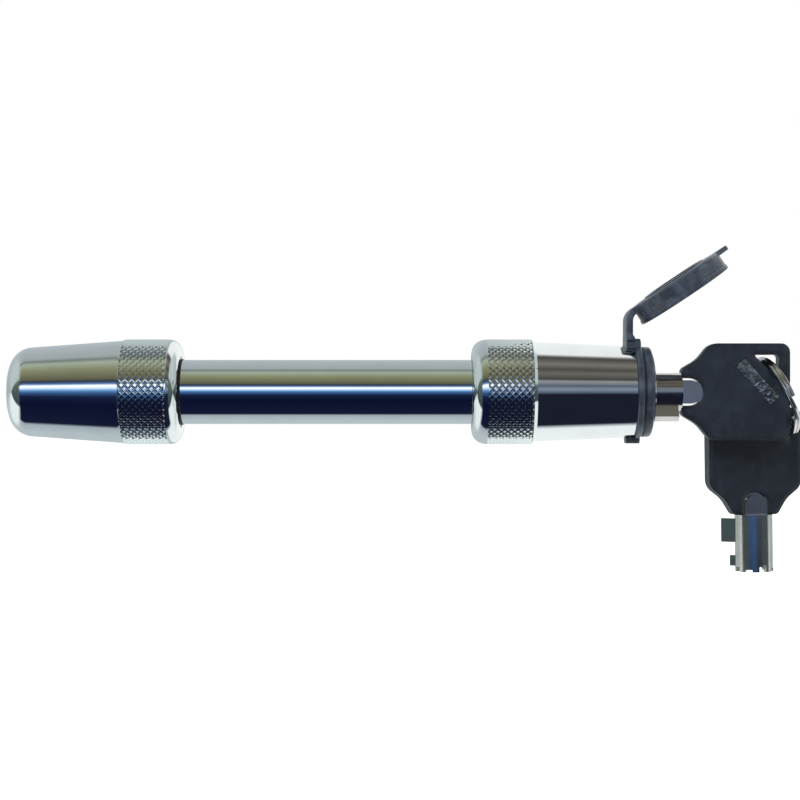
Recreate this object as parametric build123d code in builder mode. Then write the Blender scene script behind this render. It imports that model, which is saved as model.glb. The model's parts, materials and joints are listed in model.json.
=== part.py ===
from build123d import *
import math
import os

# Receiver hitch pin lock: a plated shackle pin with a fixed head at one end and a
# slide-off lock head at the other, worked by a tubular key. A hinged rubber cap
# covers the keyway, and a spare key hangs from the first one on a split ring.
# Frame: +X runs along the pin towards the lock, +Z is the side that the cap opens on,
# and the origin is on the pin's axis at the middle of its usable span. Millimetres.

os.makedirs("parts", exist_ok=True)

# ---------------------------------------------------------------- driving dimensions
usable_span = 71.4
shank_radius = 15.875 / 2
head_rise = 5.0625
knurl_length = 11.0
fixed_head_length = 42.2
lock_barrel_length = 39.9
key_tube_radius = 4.75
key_insert = 7.0
key_exposed = 7.3
key_bow_length = 26.8
key_bow_width = 24.0
key_bow_thickness = 4.7
ring_radius = 9.857
ring_wire_radius = 0.95

# Clearances, each across one radius or between two faces, and how far a cut overruns.
run_gap = 0.05
static_gap = 0.02
slide_gap = 0.1
open_gap = 0.25
cut_past = 1.0

# ---------------------------------------------------------------- pin and fixed head
o_ring_proud = 0.5
o_ring_seat = 1.0
o_ring_wall = 1.15
o_ring_round = 0.38
seal_land_drop = 0.3
spigot_radius = 6.0
spigot_length = 24.0
end_fillet = 5.5
fixed_barrel_drop = 0.35
fixed_barrel_taper = 2.0
shoulder_drop = 3.0
fixed_shoulder = 2.8
lock_shoulder = 3.6
knurl_step = 0.9
dowel_radius = 1.5
dowel_setback = 4.5
dowel_sink = 0.4
dowel_bite = 3.0

knurl_radius = shank_radius + head_rise
fixed_barrel_root_radius = knurl_radius - fixed_barrel_drop
fixed_barrel_end_radius = fixed_barrel_root_radius - fixed_barrel_taper
lock_face = usable_span / 2
fixed_face = -lock_face - o_ring_proud
shank_start = fixed_face - o_ring_seat
spigot_start = shank_start - spigot_length
seal_land_radius = shank_radius - seal_land_drop
seal_end = -lock_face - static_gap
fixed_end = fixed_face - fixed_head_length
fixed_knurl_start = fixed_face - fixed_shoulder - knurl_length
fixed_barrel_start = fixed_knurl_start - knurl_step

# ---------------------------------------------------------------- lock head, radii
nib_height = 1.25
nib_room = 0.3
shell_step = 0.6
shell_wall = 1.6
collar_spigot_wall = 1.5
collar_step = 1.3
barrel_taper = 1.05
journal_relief = 0.29
bush_wall = 1.95
flange_rise = 1.1
nose_relief = 2.25
neck_depth = 1.4
dog_setdown = 0.2
peg_radius = 0.88

nib_radius = key_tube_radius + nib_height
recess_radius = nib_radius + nib_room
shell_bore = recess_radius + shell_step
shell_radius = shell_bore + shell_wall
keyway_radius = key_tube_radius + slide_gap
collar_spigot = shell_radius + collar_spigot_wall
lock_barrel_end_radius = collar_spigot + collar_step
lock_barrel_root_radius = lock_barrel_end_radius + barrel_taper
journal_radius = shank_radius - journal_relief
bore_radius = max(journal_radius + bush_wall, shell_radius + flange_rise)
nose_radius = journal_radius - nose_relief
neck_radius = nose_radius - neck_depth
dog_inner = nose_radius + open_gap
dog_outer = bore_radius - dog_setdown
dog_travel = dog_inner - neck_radius - slide_gap
peg_circle = nose_radius + slide_gap + peg_radius + dog_travel

# ---------------------------------------------------------------- lock head, stations
bush_length = 11.6
seal_setback = 3.8
seal_length = 1.6
seal_wall = 1.1
carrier_length = 8.7
dog_setback = 2.75
dog_thickness = 3.45
dog_half_width = 4.95
peg_setback = 1.0
neck_margin = 0.33
nose_chamfer = 0.8
cam_thickness = 2.65
screw_head_depth = 1.1
screw_slot_width = 0.6
flange_thickness = 1.0
lip_thickness = 1.2
spindle_length = 5.5
shear_gap = 0.15

shank_end = lock_face - slide_gap
bush_end = lock_face + bush_length
journal_end = bush_end - open_gap
seal_start = lock_face + seal_setback
carrier_start = bush_end + slide_gap
carrier_end = carrier_start + carrier_length
dog_start = carrier_start + dog_setback
dog_end = dog_start + dog_thickness
peg_start = dog_start + peg_setback
neck_start = dog_start - neck_margin
neck_end = dog_end + neck_margin
nose_end = carrier_end - slide_gap
cam_start = carrier_end + slide_gap
cam_end = cam_start + cam_thickness
flange_start = cam_end + open_gap
step_x = flange_start + flange_thickness
lock_knurl_start = lock_face + lock_shoulder
lock_knurl_end = lock_knurl_start + knurl_length
lock_barrel_start = lock_knurl_end + knurl_step
collar_seat = lock_face + lock_barrel_length
collar_length = 4.1
spigot_proud = 0.4
key_face = collar_seat + collar_length + spigot_proud
lip_back = key_face - lip_thickness
key_tip = key_face - key_insert
spindle_front = key_tip - slide_gap
spindle_back = spindle_front - spindle_length
block_front = spindle_back - shear_gap

# ---------------------------------------------------------------- lock cylinder
pin_count = 7
pin_pitch = 45
pin_radius = 0.82
key_wall = 1.45
post_gap = 0.15
tail_gap = 0.705
tail_square_share = 1.36
pin_circle = key_tube_radius - key_wall / 2
post_radius = key_tube_radius - key_wall - post_gap
tail_radius = pin_circle - pin_radius - tail_gap
tail_square = tail_square_share * tail_radius
tail_screw_radius = 1.0
tail_screw_length = 5.0
spring_wire = 0.14
spring_turns = 5
driver_length = 2.8
driver_hole_depth = 5.6
block_pin_radius = 0.75
block_pin_setback = 3.9
retaining_pin_radius = 1.0
retaining_pin_setback = 2.6
retaining_pin_bite = 1.2

# The key's lug and nib stand at this angle, from +Y towards +Z.
lug_angle = 234
turn_angle = 90
cut_depths = [1.2, 0.6, 1.8, 0.9, 1.5, 0.6, 1.2]

# ---------------------------------------------------------------- rubber collar and cap
collar_flange_wall = 1.85
collar_front_wall = 1.15
collar_groove_wall = 0.75
collar_groove_length = 0.6
collar_flange_length = 1.5
collar_round = 0.7
cap_gap = 0.3
cap_wall = 1.2
cap_roof = 1.2
cap_headroom = 1.0
cap_open_angle = 124
cap_round = 1.0
pivot_setback = 1.1
pivot_rise = 2.18
hinge_tab_half = 4.0
hinge_tab_proud = 0.07
pull_tab_half = 3.4
pull_tab_length = 3.2
strap_lug_rise = 1.8
strap_lug_half = 4.6
strap_lug_back = 2.0
strap_thickness = 1.6
strap_slant = 0.1
strap_shoulder = 0.6
barrel_clear = 0.12
foot_height = 0.9
foot_half = 2.2
foot_back = 1.2

collar_flange = collar_spigot + collar_flange_wall
collar_front = collar_spigot + collar_front_wall
collar_groove = collar_spigot + collar_groove_wall
cap_inner = collar_front + cap_gap
cap_outer = cap_inner + cap_wall
cap_rim_x = collar_seat + collar_flange_length + cap_gap
cap_back_x = key_face + cap_headroom
cap_face_x = cap_back_x + cap_roof
pivot_x = collar_seat + pivot_setback
pivot_z = cap_outer + pivot_rise
hinge_tab_reach = pivot_z + hinge_tab_proud
pull_tab_reach = cap_outer + pull_tab_length
strap_lug_outer = lock_barrel_end_radius + strap_lug_rise

# ---------------------------------------------------------------- keys
key_bore_past = 2.5
lug_setback = 0.2
lug_length = 6.0
lug_width = 2.0
lug_height = 3.45
nib_start = 1.2
nib_length = 2.7
cut_gap = 0.13
stem_half = 2.9
stem_thickness = 4.2
arch_half = 3.4
arch_straight = 2.2
tang_half = 2.5
tang_thickness = 2.0
tang_length = 15.0
bow_front_half = 5.7
bow_waist = 3.9
bow_waist_half = 8.0
bow_shoulder = 7.1
bow_corner = 2.2
bow_edge = 0.5
ring_hole_round = 0.8
ring_hole_side = 6.2
ring_hole_rim = 2.8
badge_length = 12.7
badge_width = 2.9
badge_tilt = -47.8
badge_depth = 0.45
badge_back = 8.1
badge_rise = 2.55

# Where the spare's ring hole and the split ring's centre stand from the first key's
# ring hole, the spare's lean and twist in degrees, and the way the ring faces.
spare_hang = (4.501, 8.722, -15.910)
spare_lean = 0.71
spare_twist = 8.19
ring_hang = (2.267, 4.5, -8.342)
ring_normal = (-0.9012, -0.1935, -0.3878)

key_bore_radius = key_tube_radius - key_wall
key_bore_depth = key_insert + key_bore_past
lug_start = key_insert + lug_setback
lug_radius = key_tube_radius + lug_height
cut_half_width = pin_radius + cut_gap
key_reach = key_insert + key_exposed
bow_end = key_reach + key_bow_length
bow_half = key_bow_width / 2


def disc(start, length, radius, mode=Mode.ADD):
    """A round step of a turned part, from start along +X."""
    with BuildSketch(Plane.YZ.offset(start)) as outline:
        Circle(radius)
    extrude(outline.sketch, amount=length, mode=mode)


def radial_pin(x, angle, inner, outer, radius, mode=Mode.ADD):
    """A round pin or hole that points out from the axis at an angle from +Y."""
    out = (0, math.cos(math.radians(angle)), math.sin(math.radians(angle)))
    with BuildSketch(Plane(origin=(x, 0, 0), x_dir=(1, 0, 0), z_dir=out).offset(inner)) as outline:
        Circle(radius)
    extrude(outline.sketch, amount=outer - inner, mode=mode)


def finish(piece, name):
    """Labels one finished solid and writes it as its own part."""
    piece.label = name
    export_step(piece, f"parts/{name}.step")


# ================================================================ fixed end
# The pin is one turning: a spigot for the fixed head, the shank that carries the
# load, a journal that the lock head slides on, a locking neck and a nose.
with BuildPart() as shackle_pin:
    with BuildSketch(Plane.XZ):
        with BuildLine():
            Polyline(
                (spigot_start, 0),
                (spigot_start, spigot_radius),
                (shank_start, spigot_radius),
                (shank_start, seal_land_radius),
                (-lock_face, seal_land_radius),
                (-lock_face, shank_radius),
                (shank_end, shank_radius),
                (shank_end, journal_radius),
                (journal_end, journal_radius),
                (journal_end, nose_radius),
                (neck_start, nose_radius),
                (neck_start, neck_radius),
                (neck_end, neck_radius),
                (neck_end, nose_radius),
                (nose_end - nose_chamfer, nose_radius),
                (nose_end, nose_radius - nose_chamfer),
                (nose_end, 0),
                close=True,
            )
        make_face()
    revolve(axis=Axis.X)
    dowel_x = fixed_barrel_start - dowel_setback
    radial_pin(dowel_x, 0, spigot_radius - dowel_bite, bore_radius, dowel_radius, Mode.SUBTRACT)
finish(shackle_pin.part, "shackle_pin")

# The fixed head is pressed on the spigot and has a seat for the face seal.
with BuildPart() as fixed_head:
    shoulder_start = (fixed_face - fixed_shoulder, knurl_radius)
    shoulder_end = (fixed_face, knurl_radius - shoulder_drop)
    seat_radius = seal_land_radius + o_ring_wall + run_gap
    with BuildSketch(Plane.XZ):
        with BuildLine():
            shoulder_centre = (fixed_face - fixed_shoulder, knurl_radius - shoulder_drop)
            EllipticalCenterArc(shoulder_centre, fixed_shoulder, shoulder_drop, 0, arc_size=90)
            Polyline(
                shoulder_end,
                (fixed_face, seat_radius),
                (shank_start, seat_radius),
                (shank_start, spigot_radius + static_gap),
                (spigot_start, spigot_radius + static_gap),
                (spigot_start, 0),
                (fixed_end, 0),
                (fixed_end, fixed_barrel_end_radius),
                (fixed_barrel_start, fixed_barrel_root_radius),
                (fixed_knurl_start, knurl_radius),
                shoulder_start,
            )
        make_face()
    revolve(axis=Axis.X)
    fillet(fixed_head.edges().group_by(Axis.X)[0], radius=end_fillet)
    radial_pin(dowel_x, 0, 0, 2 * knurl_radius, dowel_radius, Mode.SUBTRACT)
finish(fixed_head.part, "fixed_head")

# A dowel driven in from the back of the head keeps it from turning or pulling off.
with BuildPart() as head_dowel:
    dowel_top = fixed_barrel_end_radius + (fixed_barrel_root_radius - fixed_barrel_end_radius) * (
        (dowel_x - fixed_end) / (fixed_barrel_start - fixed_end)
    )
    dowel_foot = spigot_radius - dowel_bite
    radial_pin(dowel_x, 0, dowel_foot, dowel_top - dowel_sink, dowel_radius - static_gap)
finish(head_dowel.part, "head_dowel")

# The face seal is a square-cut rubber ring in a shallow land on the shank, proud of the head.
with BuildPart() as fixed_head_o_ring:
    with BuildSketch(Plane.XZ):
        with Locations((shank_start, seal_land_radius + static_gap)):
            Rectangle(seal_end - shank_start, o_ring_wall, align=(Align.MIN, Align.MIN))
    revolve(axis=Axis.X)
    fillet(fixed_head_o_ring.edges().group_by(Axis.X)[-1], radius=o_ring_round)
finish(fixed_head_o_ring.part, "fixed_head_o_ring")

# ================================================================ lock head casing
# The body is turned from bar: knurled at the mouth, tapered to the collar's seat,
# bored from the mouth for the latch and right through for the lock cylinder.
with BuildPart() as lock_body:
    shoulder_start = (lock_knurl_start, knurl_radius)
    shoulder_end = (lock_face, knurl_radius - shoulder_drop)
    with BuildSketch(Plane.XZ):
        with BuildLine():
            shoulder_centre = (lock_knurl_start, knurl_radius - shoulder_drop)
            EllipticalCenterArc(shoulder_centre, lock_shoulder, shoulder_drop, 90, arc_size=90)
            Polyline(
                shoulder_end,
                (lock_face, bore_radius),
                (step_x, bore_radius),
                (step_x, shell_radius + run_gap),
                (key_face, shell_radius + run_gap),
                (key_face, collar_spigot),
                (collar_seat, collar_spigot),
                (collar_seat, lock_barrel_end_radius),
                (lock_barrel_start, lock_barrel_root_radius),
                (lock_knurl_end, knurl_radius),
                shoulder_start,
            )
        make_face()
    revolve(axis=Axis.X)
    retaining_x = key_face - retaining_pin_setback
    retaining_inner = shell_radius - retaining_pin_bite
    radial_pin(retaining_x, -90, retaining_inner, collar_spigot + cut_past, retaining_pin_radius, Mode.SUBTRACT)
finish(lock_body.part, "lock_body")

# The mouth bush is pressed in last. It guides the pin's journal and holds the seal.
with BuildPart() as mouth_bush:
    disc(lock_face, bush_length, bore_radius - static_gap)
    disc(lock_face, bush_length, journal_radius + run_gap, Mode.SUBTRACT)
    disc(seal_start - slide_gap, seal_length + 2 * slide_gap, journal_radius + seal_wall, Mode.SUBTRACT)
finish(mouth_bush.part, "mouth_bush")

# The wiper seal sits in the bush's groove and rubs on the journal.
with BuildPart() as lock_head_o_ring:
    disc(seal_start, seal_length, journal_radius + seal_wall - run_gap)
    disc(seal_start, seal_length, journal_radius + run_gap / 2, Mode.SUBTRACT)
finish(lock_head_o_ring.part, "lock_head_o_ring")

# ================================================================ latch
# The carrier is a thick disc with a cross slot that guides the two dogs, and a
# radial slot on its far side for each dog's peg.
with BuildPart() as dog_carrier:
    disc(carrier_start, carrier_length, bore_radius - static_gap)
    disc(carrier_start, carrier_length, nose_radius + open_gap, Mode.SUBTRACT)
    with BuildSketch(Plane.YZ.offset(dog_start - slide_gap / 2)):
        Rectangle(2 * (dog_half_width + slide_gap / 2), 2 * (bore_radius + cut_past))
    extrude(amount=dog_thickness + slide_gap, mode=Mode.SUBTRACT)
    peg_slot_reach = 2 * (peg_circle + peg_radius + slide_gap)
    with BuildSketch(Plane.YZ.offset(dog_start)):
        Rectangle(2 * (peg_radius + slide_gap), peg_slot_reach)
    extrude(amount=carrier_length, mode=Mode.SUBTRACT)
finish(dog_carrier.part, "dog_carrier")

# Two dogs close on the pin's neck behind its nose. They are drawn open.
for side, dog_name in ((1, "upper_dog"), (-1, "lower_dog")):
    with BuildPart() as dog:
        with BuildSketch(Plane.YZ.offset(dog_start)):
            Circle(dog_outer)
            Circle(dog_inner, mode=Mode.SUBTRACT)
            with Locations((0, side * dog_outer)):
                Rectangle(2 * dog_half_width, 2 * dog_outer, mode=Mode.INTERSECT)
        extrude(amount=dog_thickness)
        with BuildSketch(Plane.YZ.offset(peg_start)):
            with Locations((0, side * peg_circle)):
                Circle(peg_radius)
        extrude(amount=dog_thickness, mode=Mode.SUBTRACT)
    finish(dog.part, dog_name)
    with BuildPart() as peg:
        with BuildSketch(Plane.YZ.offset(peg_start)):
            with Locations((0, side * peg_circle)):
                Circle(peg_radius - static_gap)
        extrude(amount=cam_end - open_gap - peg_start)
    finish(peg.part, dog_name + "_peg")

# The cam disc has a spiral slot for each peg. A quarter turn draws both dogs in.
with BuildPart() as cam_disc:
    disc(cam_start, cam_thickness, bore_radius - slide_gap)
    with BuildSketch(Plane.YZ.offset(cam_start)):
        for half_turn in (0, 180):
            slot_path = []
            for share in (0, 0.5, 1):
                angle = math.radians(90 + half_turn - turn_angle * share)
                reach = peg_circle - dog_travel * share
                slot_path.append((reach * math.cos(angle), reach * math.sin(angle)))
            with BuildLine(mode=Mode.PRIVATE):
                slot_arc = ThreePointArc(*slot_path)
            SlotArc(slot_arc, 2 * (peg_radius + slide_gap))
    extrude(amount=cam_thickness, mode=Mode.SUBTRACT)
    with BuildSketch(Plane.YZ.offset(cam_start)):
        Rectangle(tail_square + 2 * static_gap, tail_square + 2 * static_gap)
    extrude(amount=cam_thickness, mode=Mode.SUBTRACT)
    with BuildSketch(Plane.XZ):
        with BuildLine():
            Polyline(
                (cam_start, 0),
                (cam_start, tail_square / 2 + screw_head_depth),
                (cam_start + screw_head_depth, tail_square / 2),
                (cam_start + screw_head_depth, 0),
                close=True,
            )
        make_face()
    revolve(axis=Axis.X, mode=Mode.SUBTRACT)
finish(cam_disc.part, "cam_disc")

# A countersunk screw holds the cam on the square end of the spindle's tail.
with BuildPart() as cam_screw:
    head_radius = tail_square / 2 + screw_head_depth - 3 * static_gap
    screw_face = cam_start + static_gap
    screw_seat = cam_start + screw_head_depth
    with BuildSketch(Plane.XZ):
        with BuildLine():
            Polyline(
                (screw_face, 0),
                (screw_face, head_radius),
                (screw_seat, head_radius - screw_head_depth + static_gap),
                (screw_seat, tail_screw_radius - static_gap),
                (screw_seat + tail_screw_length, tail_screw_radius - static_gap),
                (screw_seat + tail_screw_length, 0),
                close=True,
            )
        make_face()
    revolve(axis=Axis.X)
    with BuildSketch(Plane.YZ.offset(screw_face)):
        Rectangle(screw_slot_width, 2 * head_radius)
    extrude(amount=screw_head_depth / 2, mode=Mode.SUBTRACT)
finish(cam_screw.part, "cam_screw")

# ================================================================ lock cylinder
# The shell slides in from the mouth as far as its flange. Its lip has a keyway with a
# gate for the key's nib at each end of the turn, and a recess where the nib turns.
with BuildPart() as cylinder_shell:
    disc(flange_start, flange_thickness, bore_radius - static_gap)
    disc(flange_start, key_face - flange_start, shell_radius)
    disc(flange_start, key_tip - flange_start, shell_bore, Mode.SUBTRACT)
    disc(key_tip, lip_back - key_tip, recess_radius, Mode.SUBTRACT)
    disc(lip_back, lip_thickness, keyway_radius, Mode.SUBTRACT)
    with BuildSketch(Plane.YZ.offset(lip_back)):
        for gate_angle in (lug_angle, lug_angle + turn_angle):
            with PolarLocations(0, 1, start_angle=gate_angle):
                Rectangle(nib_radius + slide_gap, lug_width + 2 * slide_gap, align=(Align.MIN, Align.CENTER))
    extrude(amount=lip_thickness, mode=Mode.SUBTRACT)
    radial_pin(retaining_x, -90, retaining_inner, shell_radius + cut_past, retaining_pin_radius, Mode.SUBTRACT)
    block_pin_x = block_front - block_pin_setback
    radial_pin(block_pin_x, 90, shell_bore - cut_past, shell_radius + cut_past, block_pin_radius, Mode.SUBTRACT)
finish(cylinder_shell.part, "cylinder_shell")

# The pin block closes the back of the shell and holds the drivers and springs.
pin_angles = [lug_angle + pin_pitch * (i + 1) for i in range(pin_count)]
driver_hole_start = block_front - driver_hole_depth
block_pin_foot = pin_circle + pin_radius + 3 * run_gap
with BuildPart() as pin_block:
    disc(flange_start, block_front - flange_start, shell_bore - static_gap)
    disc(flange_start, block_front - flange_start, tail_radius + run_gap, Mode.SUBTRACT)
    with BuildSketch(Plane.YZ.offset(driver_hole_start)):
        for angle in pin_angles:
            with PolarLocations(pin_circle, 1, start_angle=angle):
                Circle(pin_radius + run_gap)
    extrude(amount=driver_hole_depth, mode=Mode.SUBTRACT)
    radial_pin(block_pin_x, 90, block_pin_foot, shell_radius, block_pin_radius, Mode.SUBTRACT)
finish(pin_block.part, "pin_block")

with BuildPart() as block_pin:
    radial_pin(block_pin_x, 90, block_pin_foot, shell_radius - static_gap, block_pin_radius - static_gap)
finish(block_pin.part, "block_pin")

with BuildPart() as cylinder_retaining_pin:
    pin_top = collar_spigot - 2 * static_gap
    radial_pin(retaining_x, -90, retaining_inner, pin_top, retaining_pin_radius - static_gap)
finish(cylinder_retaining_pin.part, "cylinder_retaining_pin")

# The spindle turns with the key. Its post centres the key's tube and its tail
# drives the cam through the pin block.
with BuildPart() as lock_spindle:
    disc(spindle_back, spindle_length, shell_bore - run_gap - static_gap)
    disc(spindle_front, key_face - slide_gap - spindle_front, post_radius)
    disc(cam_end, spindle_back - cam_end, tail_radius)
    with BuildSketch(Plane.YZ.offset(cam_start + screw_head_depth)):
        Rectangle(tail_square, tail_square)
    extrude(amount=cam_thickness - screw_head_depth)
    with BuildSketch(Plane.YZ.offset(spindle_back)):
        for angle in pin_angles:
            with PolarLocations(pin_circle, 1, start_angle=angle):
                Circle(pin_radius + run_gap)
    extrude(amount=spindle_length, mode=Mode.SUBTRACT)
    disc(screw_seat, tail_screw_length + cut_past, tail_screw_radius, Mode.SUBTRACT)
finish(lock_spindle.part, "lock_spindle")

# Seven key pins stand on the bottoms of the key's cuts, level with the shear line.
with BuildPart() as key_pins:
    for angle, depth in zip(pin_angles, cut_depths):
        with BuildSketch(Plane.YZ.offset(spindle_back)):
            with PolarLocations(pin_circle, 1, start_angle=angle):
                Circle(pin_radius)
        extrude(amount=key_tip + depth - static_gap - spindle_back)
finish(key_pins.part, "key_pins")

driver_start = block_front - driver_length
with BuildPart() as driver_pins:
    with BuildSketch(Plane.YZ.offset(driver_start)):
        for angle in pin_angles:
            with PolarLocations(pin_circle, 1, start_angle=angle):
                Circle(pin_radius)
    extrude(amount=driver_length)
finish(driver_pins.part, "driver_pins")

# A small coil spring behind each driver.
coil_radius = pin_radius - spring_wire
coil_length = driver_start - driver_hole_start - 2 * spring_wire - 2 * static_gap
with BuildPart() as coil:
    with BuildLine() as coil_line:
        Helix(pitch=coil_length / spring_turns, height=coil_length, radius=coil_radius)
    with BuildSketch(Plane(origin=coil_line.line @ 0, z_dir=coil_line.line % 0)):
        Circle(spring_wire)
    sweep(is_frenet=True)
springs = []
for angle in pin_angles:
    y = pin_circle * math.cos(math.radians(angle))
    z = pin_circle * math.sin(math.radians(angle))
    springs.append(coil.part.moved(Location((driver_hole_start + spring_wire + static_gap, y, z), (0, 90, 0))))
finish(Compound(children=springs), "pin_springs")

# ================================================================ rubber collar and cap
# The collar is stretched over the body's spigot. A raised lug at the top carries the
# cap's strap, and a small foot at the bottom helps to pull the collar on.
with BuildPart() as dust_cap_collar:
    groove_start = collar_seat + collar_flange_length
    groove_end = groove_start + collar_groove_length
    with BuildSketch(Plane.XZ):
        with BuildLine():
            Polyline(
                (collar_seat, collar_spigot + static_gap),
                (collar_seat, collar_flange),
                (groove_start, collar_flange),
                (groove_start, collar_groove),
                (groove_end, collar_groove),
                (groove_end, collar_front),
                (collar_seat + collar_length, collar_front),
                (collar_seat + collar_length, collar_spigot + static_gap),
                close=True,
            )
        make_face()
    revolve(axis=Axis.X)
    fillet(dust_cap_collar.edges().group_by(Axis.X)[-1].sort_by(SortBy.RADIUS)[-1], radius=collar_round)
    lug_back = collar_seat - strap_lug_back
    seat_bore = lock_barrel_end_radius + barrel_clear
    foot_reach = 2 * (collar_flange_wall + foot_height)
    with BuildSketch(Plane.YZ.offset(lug_back)):
        Rectangle(2 * strap_lug_half, 2 * strap_lug_outer)
        Circle(seat_bore, mode=Mode.SUBTRACT)
        with Locations((0, strap_lug_outer)):
            Rectangle(2 * strap_lug_half, strap_lug_outer, mode=Mode.INTERSECT)
    extrude(amount=strap_lug_back + collar_flange_length)
    with BuildSketch(Plane.YZ.offset(collar_seat - foot_back)):
        Circle(collar_flange + foot_height)
        Circle(seat_bore, mode=Mode.SUBTRACT)
        with Locations((0, -collar_flange)):
            Rectangle(2 * foot_half, foot_reach, mode=Mode.INTERSECT)
    extrude(amount=foot_back + collar_flange_length)
finish(dust_cap_collar.part, "dust_cap_collar")

# The cap is a shallow rubber cup that snaps over the collar's front. It is drawn
# closed and then swung open about the middle of its strap.
with BuildPart() as dust_cap:
    with BuildSketch(Plane.XZ):
        with BuildLine():
            Polyline(
                (cap_rim_x, cap_inner),
                (cap_rim_x, cap_outer),
                (cap_face_x, cap_outer),
                (cap_face_x, 0),
                (cap_back_x, 0),
                (cap_back_x, cap_inner),
                close=True,
            )
        make_face()
    revolve(axis=Axis.X)
    fillet(dust_cap.edges().group_by(Axis.X)[-1], radius=cap_round)
    with BuildSketch(Plane.YZ.offset(cap_back_x)):
        with BuildLine():
            Polyline(
                (-pull_tab_half, -cap_inner),
                (0, -pull_tab_reach),
                (pull_tab_half, -cap_inner),
                close=True,
            )
        make_face()
        with Locations((0, cap_inner)):
            Rectangle(2 * hinge_tab_half, hinge_tab_reach - cap_inner, align=(Align.CENTER, Align.MIN))
    extrude(amount=cap_roof)
cap_hinge = Axis((pivot_x, 0, pivot_z), (0, 1, 0))
finish(dust_cap.part.rotate(cap_hinge, -cap_open_angle), "dust_cap")

# The strap joins the collar's lug to the cap's tab and bends when the cap closes.
def opened(x, z):
    """Where a point of the closed cap, given by X and Z, stands when the cap is open."""
    swing = math.radians(cap_open_angle)
    dx = x - pivot_x
    dz = z - pivot_z
    turned_x = dx * math.cos(swing) - dz * math.sin(swing)
    turned_z = dx * math.sin(swing) + dz * math.cos(swing)
    return (pivot_x + turned_x, pivot_z + turned_z)


with BuildPart() as dust_cap_strap:
    strap_inner_x = lug_back + strap_thickness
    tab_inner = opened(cap_back_x - run_gap, hinge_tab_reach)
    tab_outer = opened(cap_face_x, hinge_tab_reach + run_gap)
    tab_end = opened(cap_back_x - run_gap, hinge_tab_reach + run_gap)
    slope = math.tan(math.radians(cap_open_angle - 90))
    meet_z = tab_inner[1] + (strap_inner_x - tab_inner[0]) * slope
    with BuildSketch(Plane.XZ):
        with BuildLine():
            Polyline(
                (lug_back, strap_lug_outer + static_gap),
                (strap_inner_x, strap_lug_outer + static_gap),
                (strap_inner_x, meet_z),
                tab_end,
                tab_outer,
                (lug_back - strap_slant, tab_outer[1] - strap_shoulder),
                close=True,
            )
        make_face()
    extrude(amount=hinge_tab_half, both=True)
finish(dust_cap_strap.part, "dust_cap_strap")

# ================================================================ keys
# Each key is drawn along +X from its tip, with its bow flat in the XZ plane.
with BuildPart() as key_shank:
    disc(0, key_reach, key_tube_radius)
    for start, length, reach in ((lug_start, lug_length, lug_radius), (nib_start, nib_length, nib_radius)):
        with BuildSketch(Plane.YZ.offset(start)):
            with PolarLocations(0, 1, start_angle=lug_angle):
                Rectangle(reach, lug_width, align=(Align.MIN, Align.CENTER))
        extrude(amount=length)
    disc(0, key_bore_depth, key_bore_radius, Mode.SUBTRACT)
    for angle, depth in zip(pin_angles, cut_depths):
        with BuildSketch(Plane.YZ):
            with PolarLocations(0, 1, start_angle=angle):
                with Locations((pin_circle, 0)):
                    Rectangle(2 * key_wall, 2 * cut_half_width)
        extrude(amount=depth, mode=Mode.SUBTRACT)
    with BuildSketch(Plane.XZ):
        with Locations((key_reach, 0)):
            Rectangle(arch_straight, 2 * stem_half, align=(Align.MIN, Align.CENTER))
        with Locations((key_reach + arch_straight, 0)):
            Circle(stem_half)
    extrude(amount=stem_thickness / 2, both=True)
    with BuildSketch(Plane.XZ):
        with Locations((key_reach + arch_straight, 0)):
            Rectangle(tang_length, 2 * tang_half, align=(Align.MIN, Align.CENTER))
    extrude(amount=tang_thickness / 2, both=True)

# The bow is moulded round the tang. It has a round-ended window at the tube, a
# three-cornered ring hole in one rear corner and a recess for the code plate.
with BuildPart() as key_bow:
    with BuildSketch(Plane.XZ) as bow_outline:
        with BuildLine():
            Polyline(
                (key_reach, -bow_front_half),
                (key_reach + bow_waist, -bow_waist_half),
                (key_reach + bow_shoulder, -bow_half),
                (bow_end, -bow_half),
                (bow_end, bow_half),
                (key_reach + bow_shoulder, bow_half),
                (key_reach + bow_waist, bow_waist_half),
                (key_reach, bow_front_half),
                close=True,
            )
        make_face()
        fillet(bow_outline.vertices().group_by(Axis.X)[-1], radius=bow_corner)
    extrude(amount=key_bow_thickness / 2, both=True)
    chamfer(key_bow.faces().filter_by(Axis.Y).edges(), length=bow_edge)
    with BuildSketch(Plane.XZ):
        with Locations((key_reach - cut_past, 0)):
            Rectangle(arch_straight + cut_past, 2 * arch_half, align=(Align.MIN, Align.CENTER))
        with Locations((key_reach + arch_straight, 0)):
            Circle(arch_half)
    extrude(amount=key_bow_thickness, both=True, mode=Mode.SUBTRACT)
    hole_x = bow_end - ring_hole_rim
    hole_z = bow_half - ring_hole_rim
    with BuildSketch(Plane.XZ) as ring_hole:
        with BuildLine():
            Polyline(
                (hole_x, hole_z),
                (hole_x - ring_hole_side, hole_z),
                (hole_x, hole_z - ring_hole_side),
                close=True,
            )
        make_face()
        fillet(ring_hole.vertices(), radius=ring_hole_round)
    extrude(amount=key_bow_thickness, both=True, mode=Mode.SUBTRACT)
    with BuildSketch(Plane.XZ):
        with Locations((key_reach + arch_straight, 0)):
            Rectangle(tang_length + static_gap, 2 * (tang_half + static_gap), align=(Align.MIN, Align.CENTER))
    extrude(amount=tang_thickness / 2 + static_gap, both=True, mode=Mode.SUBTRACT)
    badge_place = Location((bow_end - badge_back, badge_rise, 0), (0, 0, badge_tilt))
    front_plane = Plane.XZ.offset(key_bow_thickness / 2)
    with BuildSketch(front_plane):
        with Locations(badge_place):
            Rectangle(badge_length, badge_width)
    extrude(amount=-badge_depth, mode=Mode.SUBTRACT)

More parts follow.
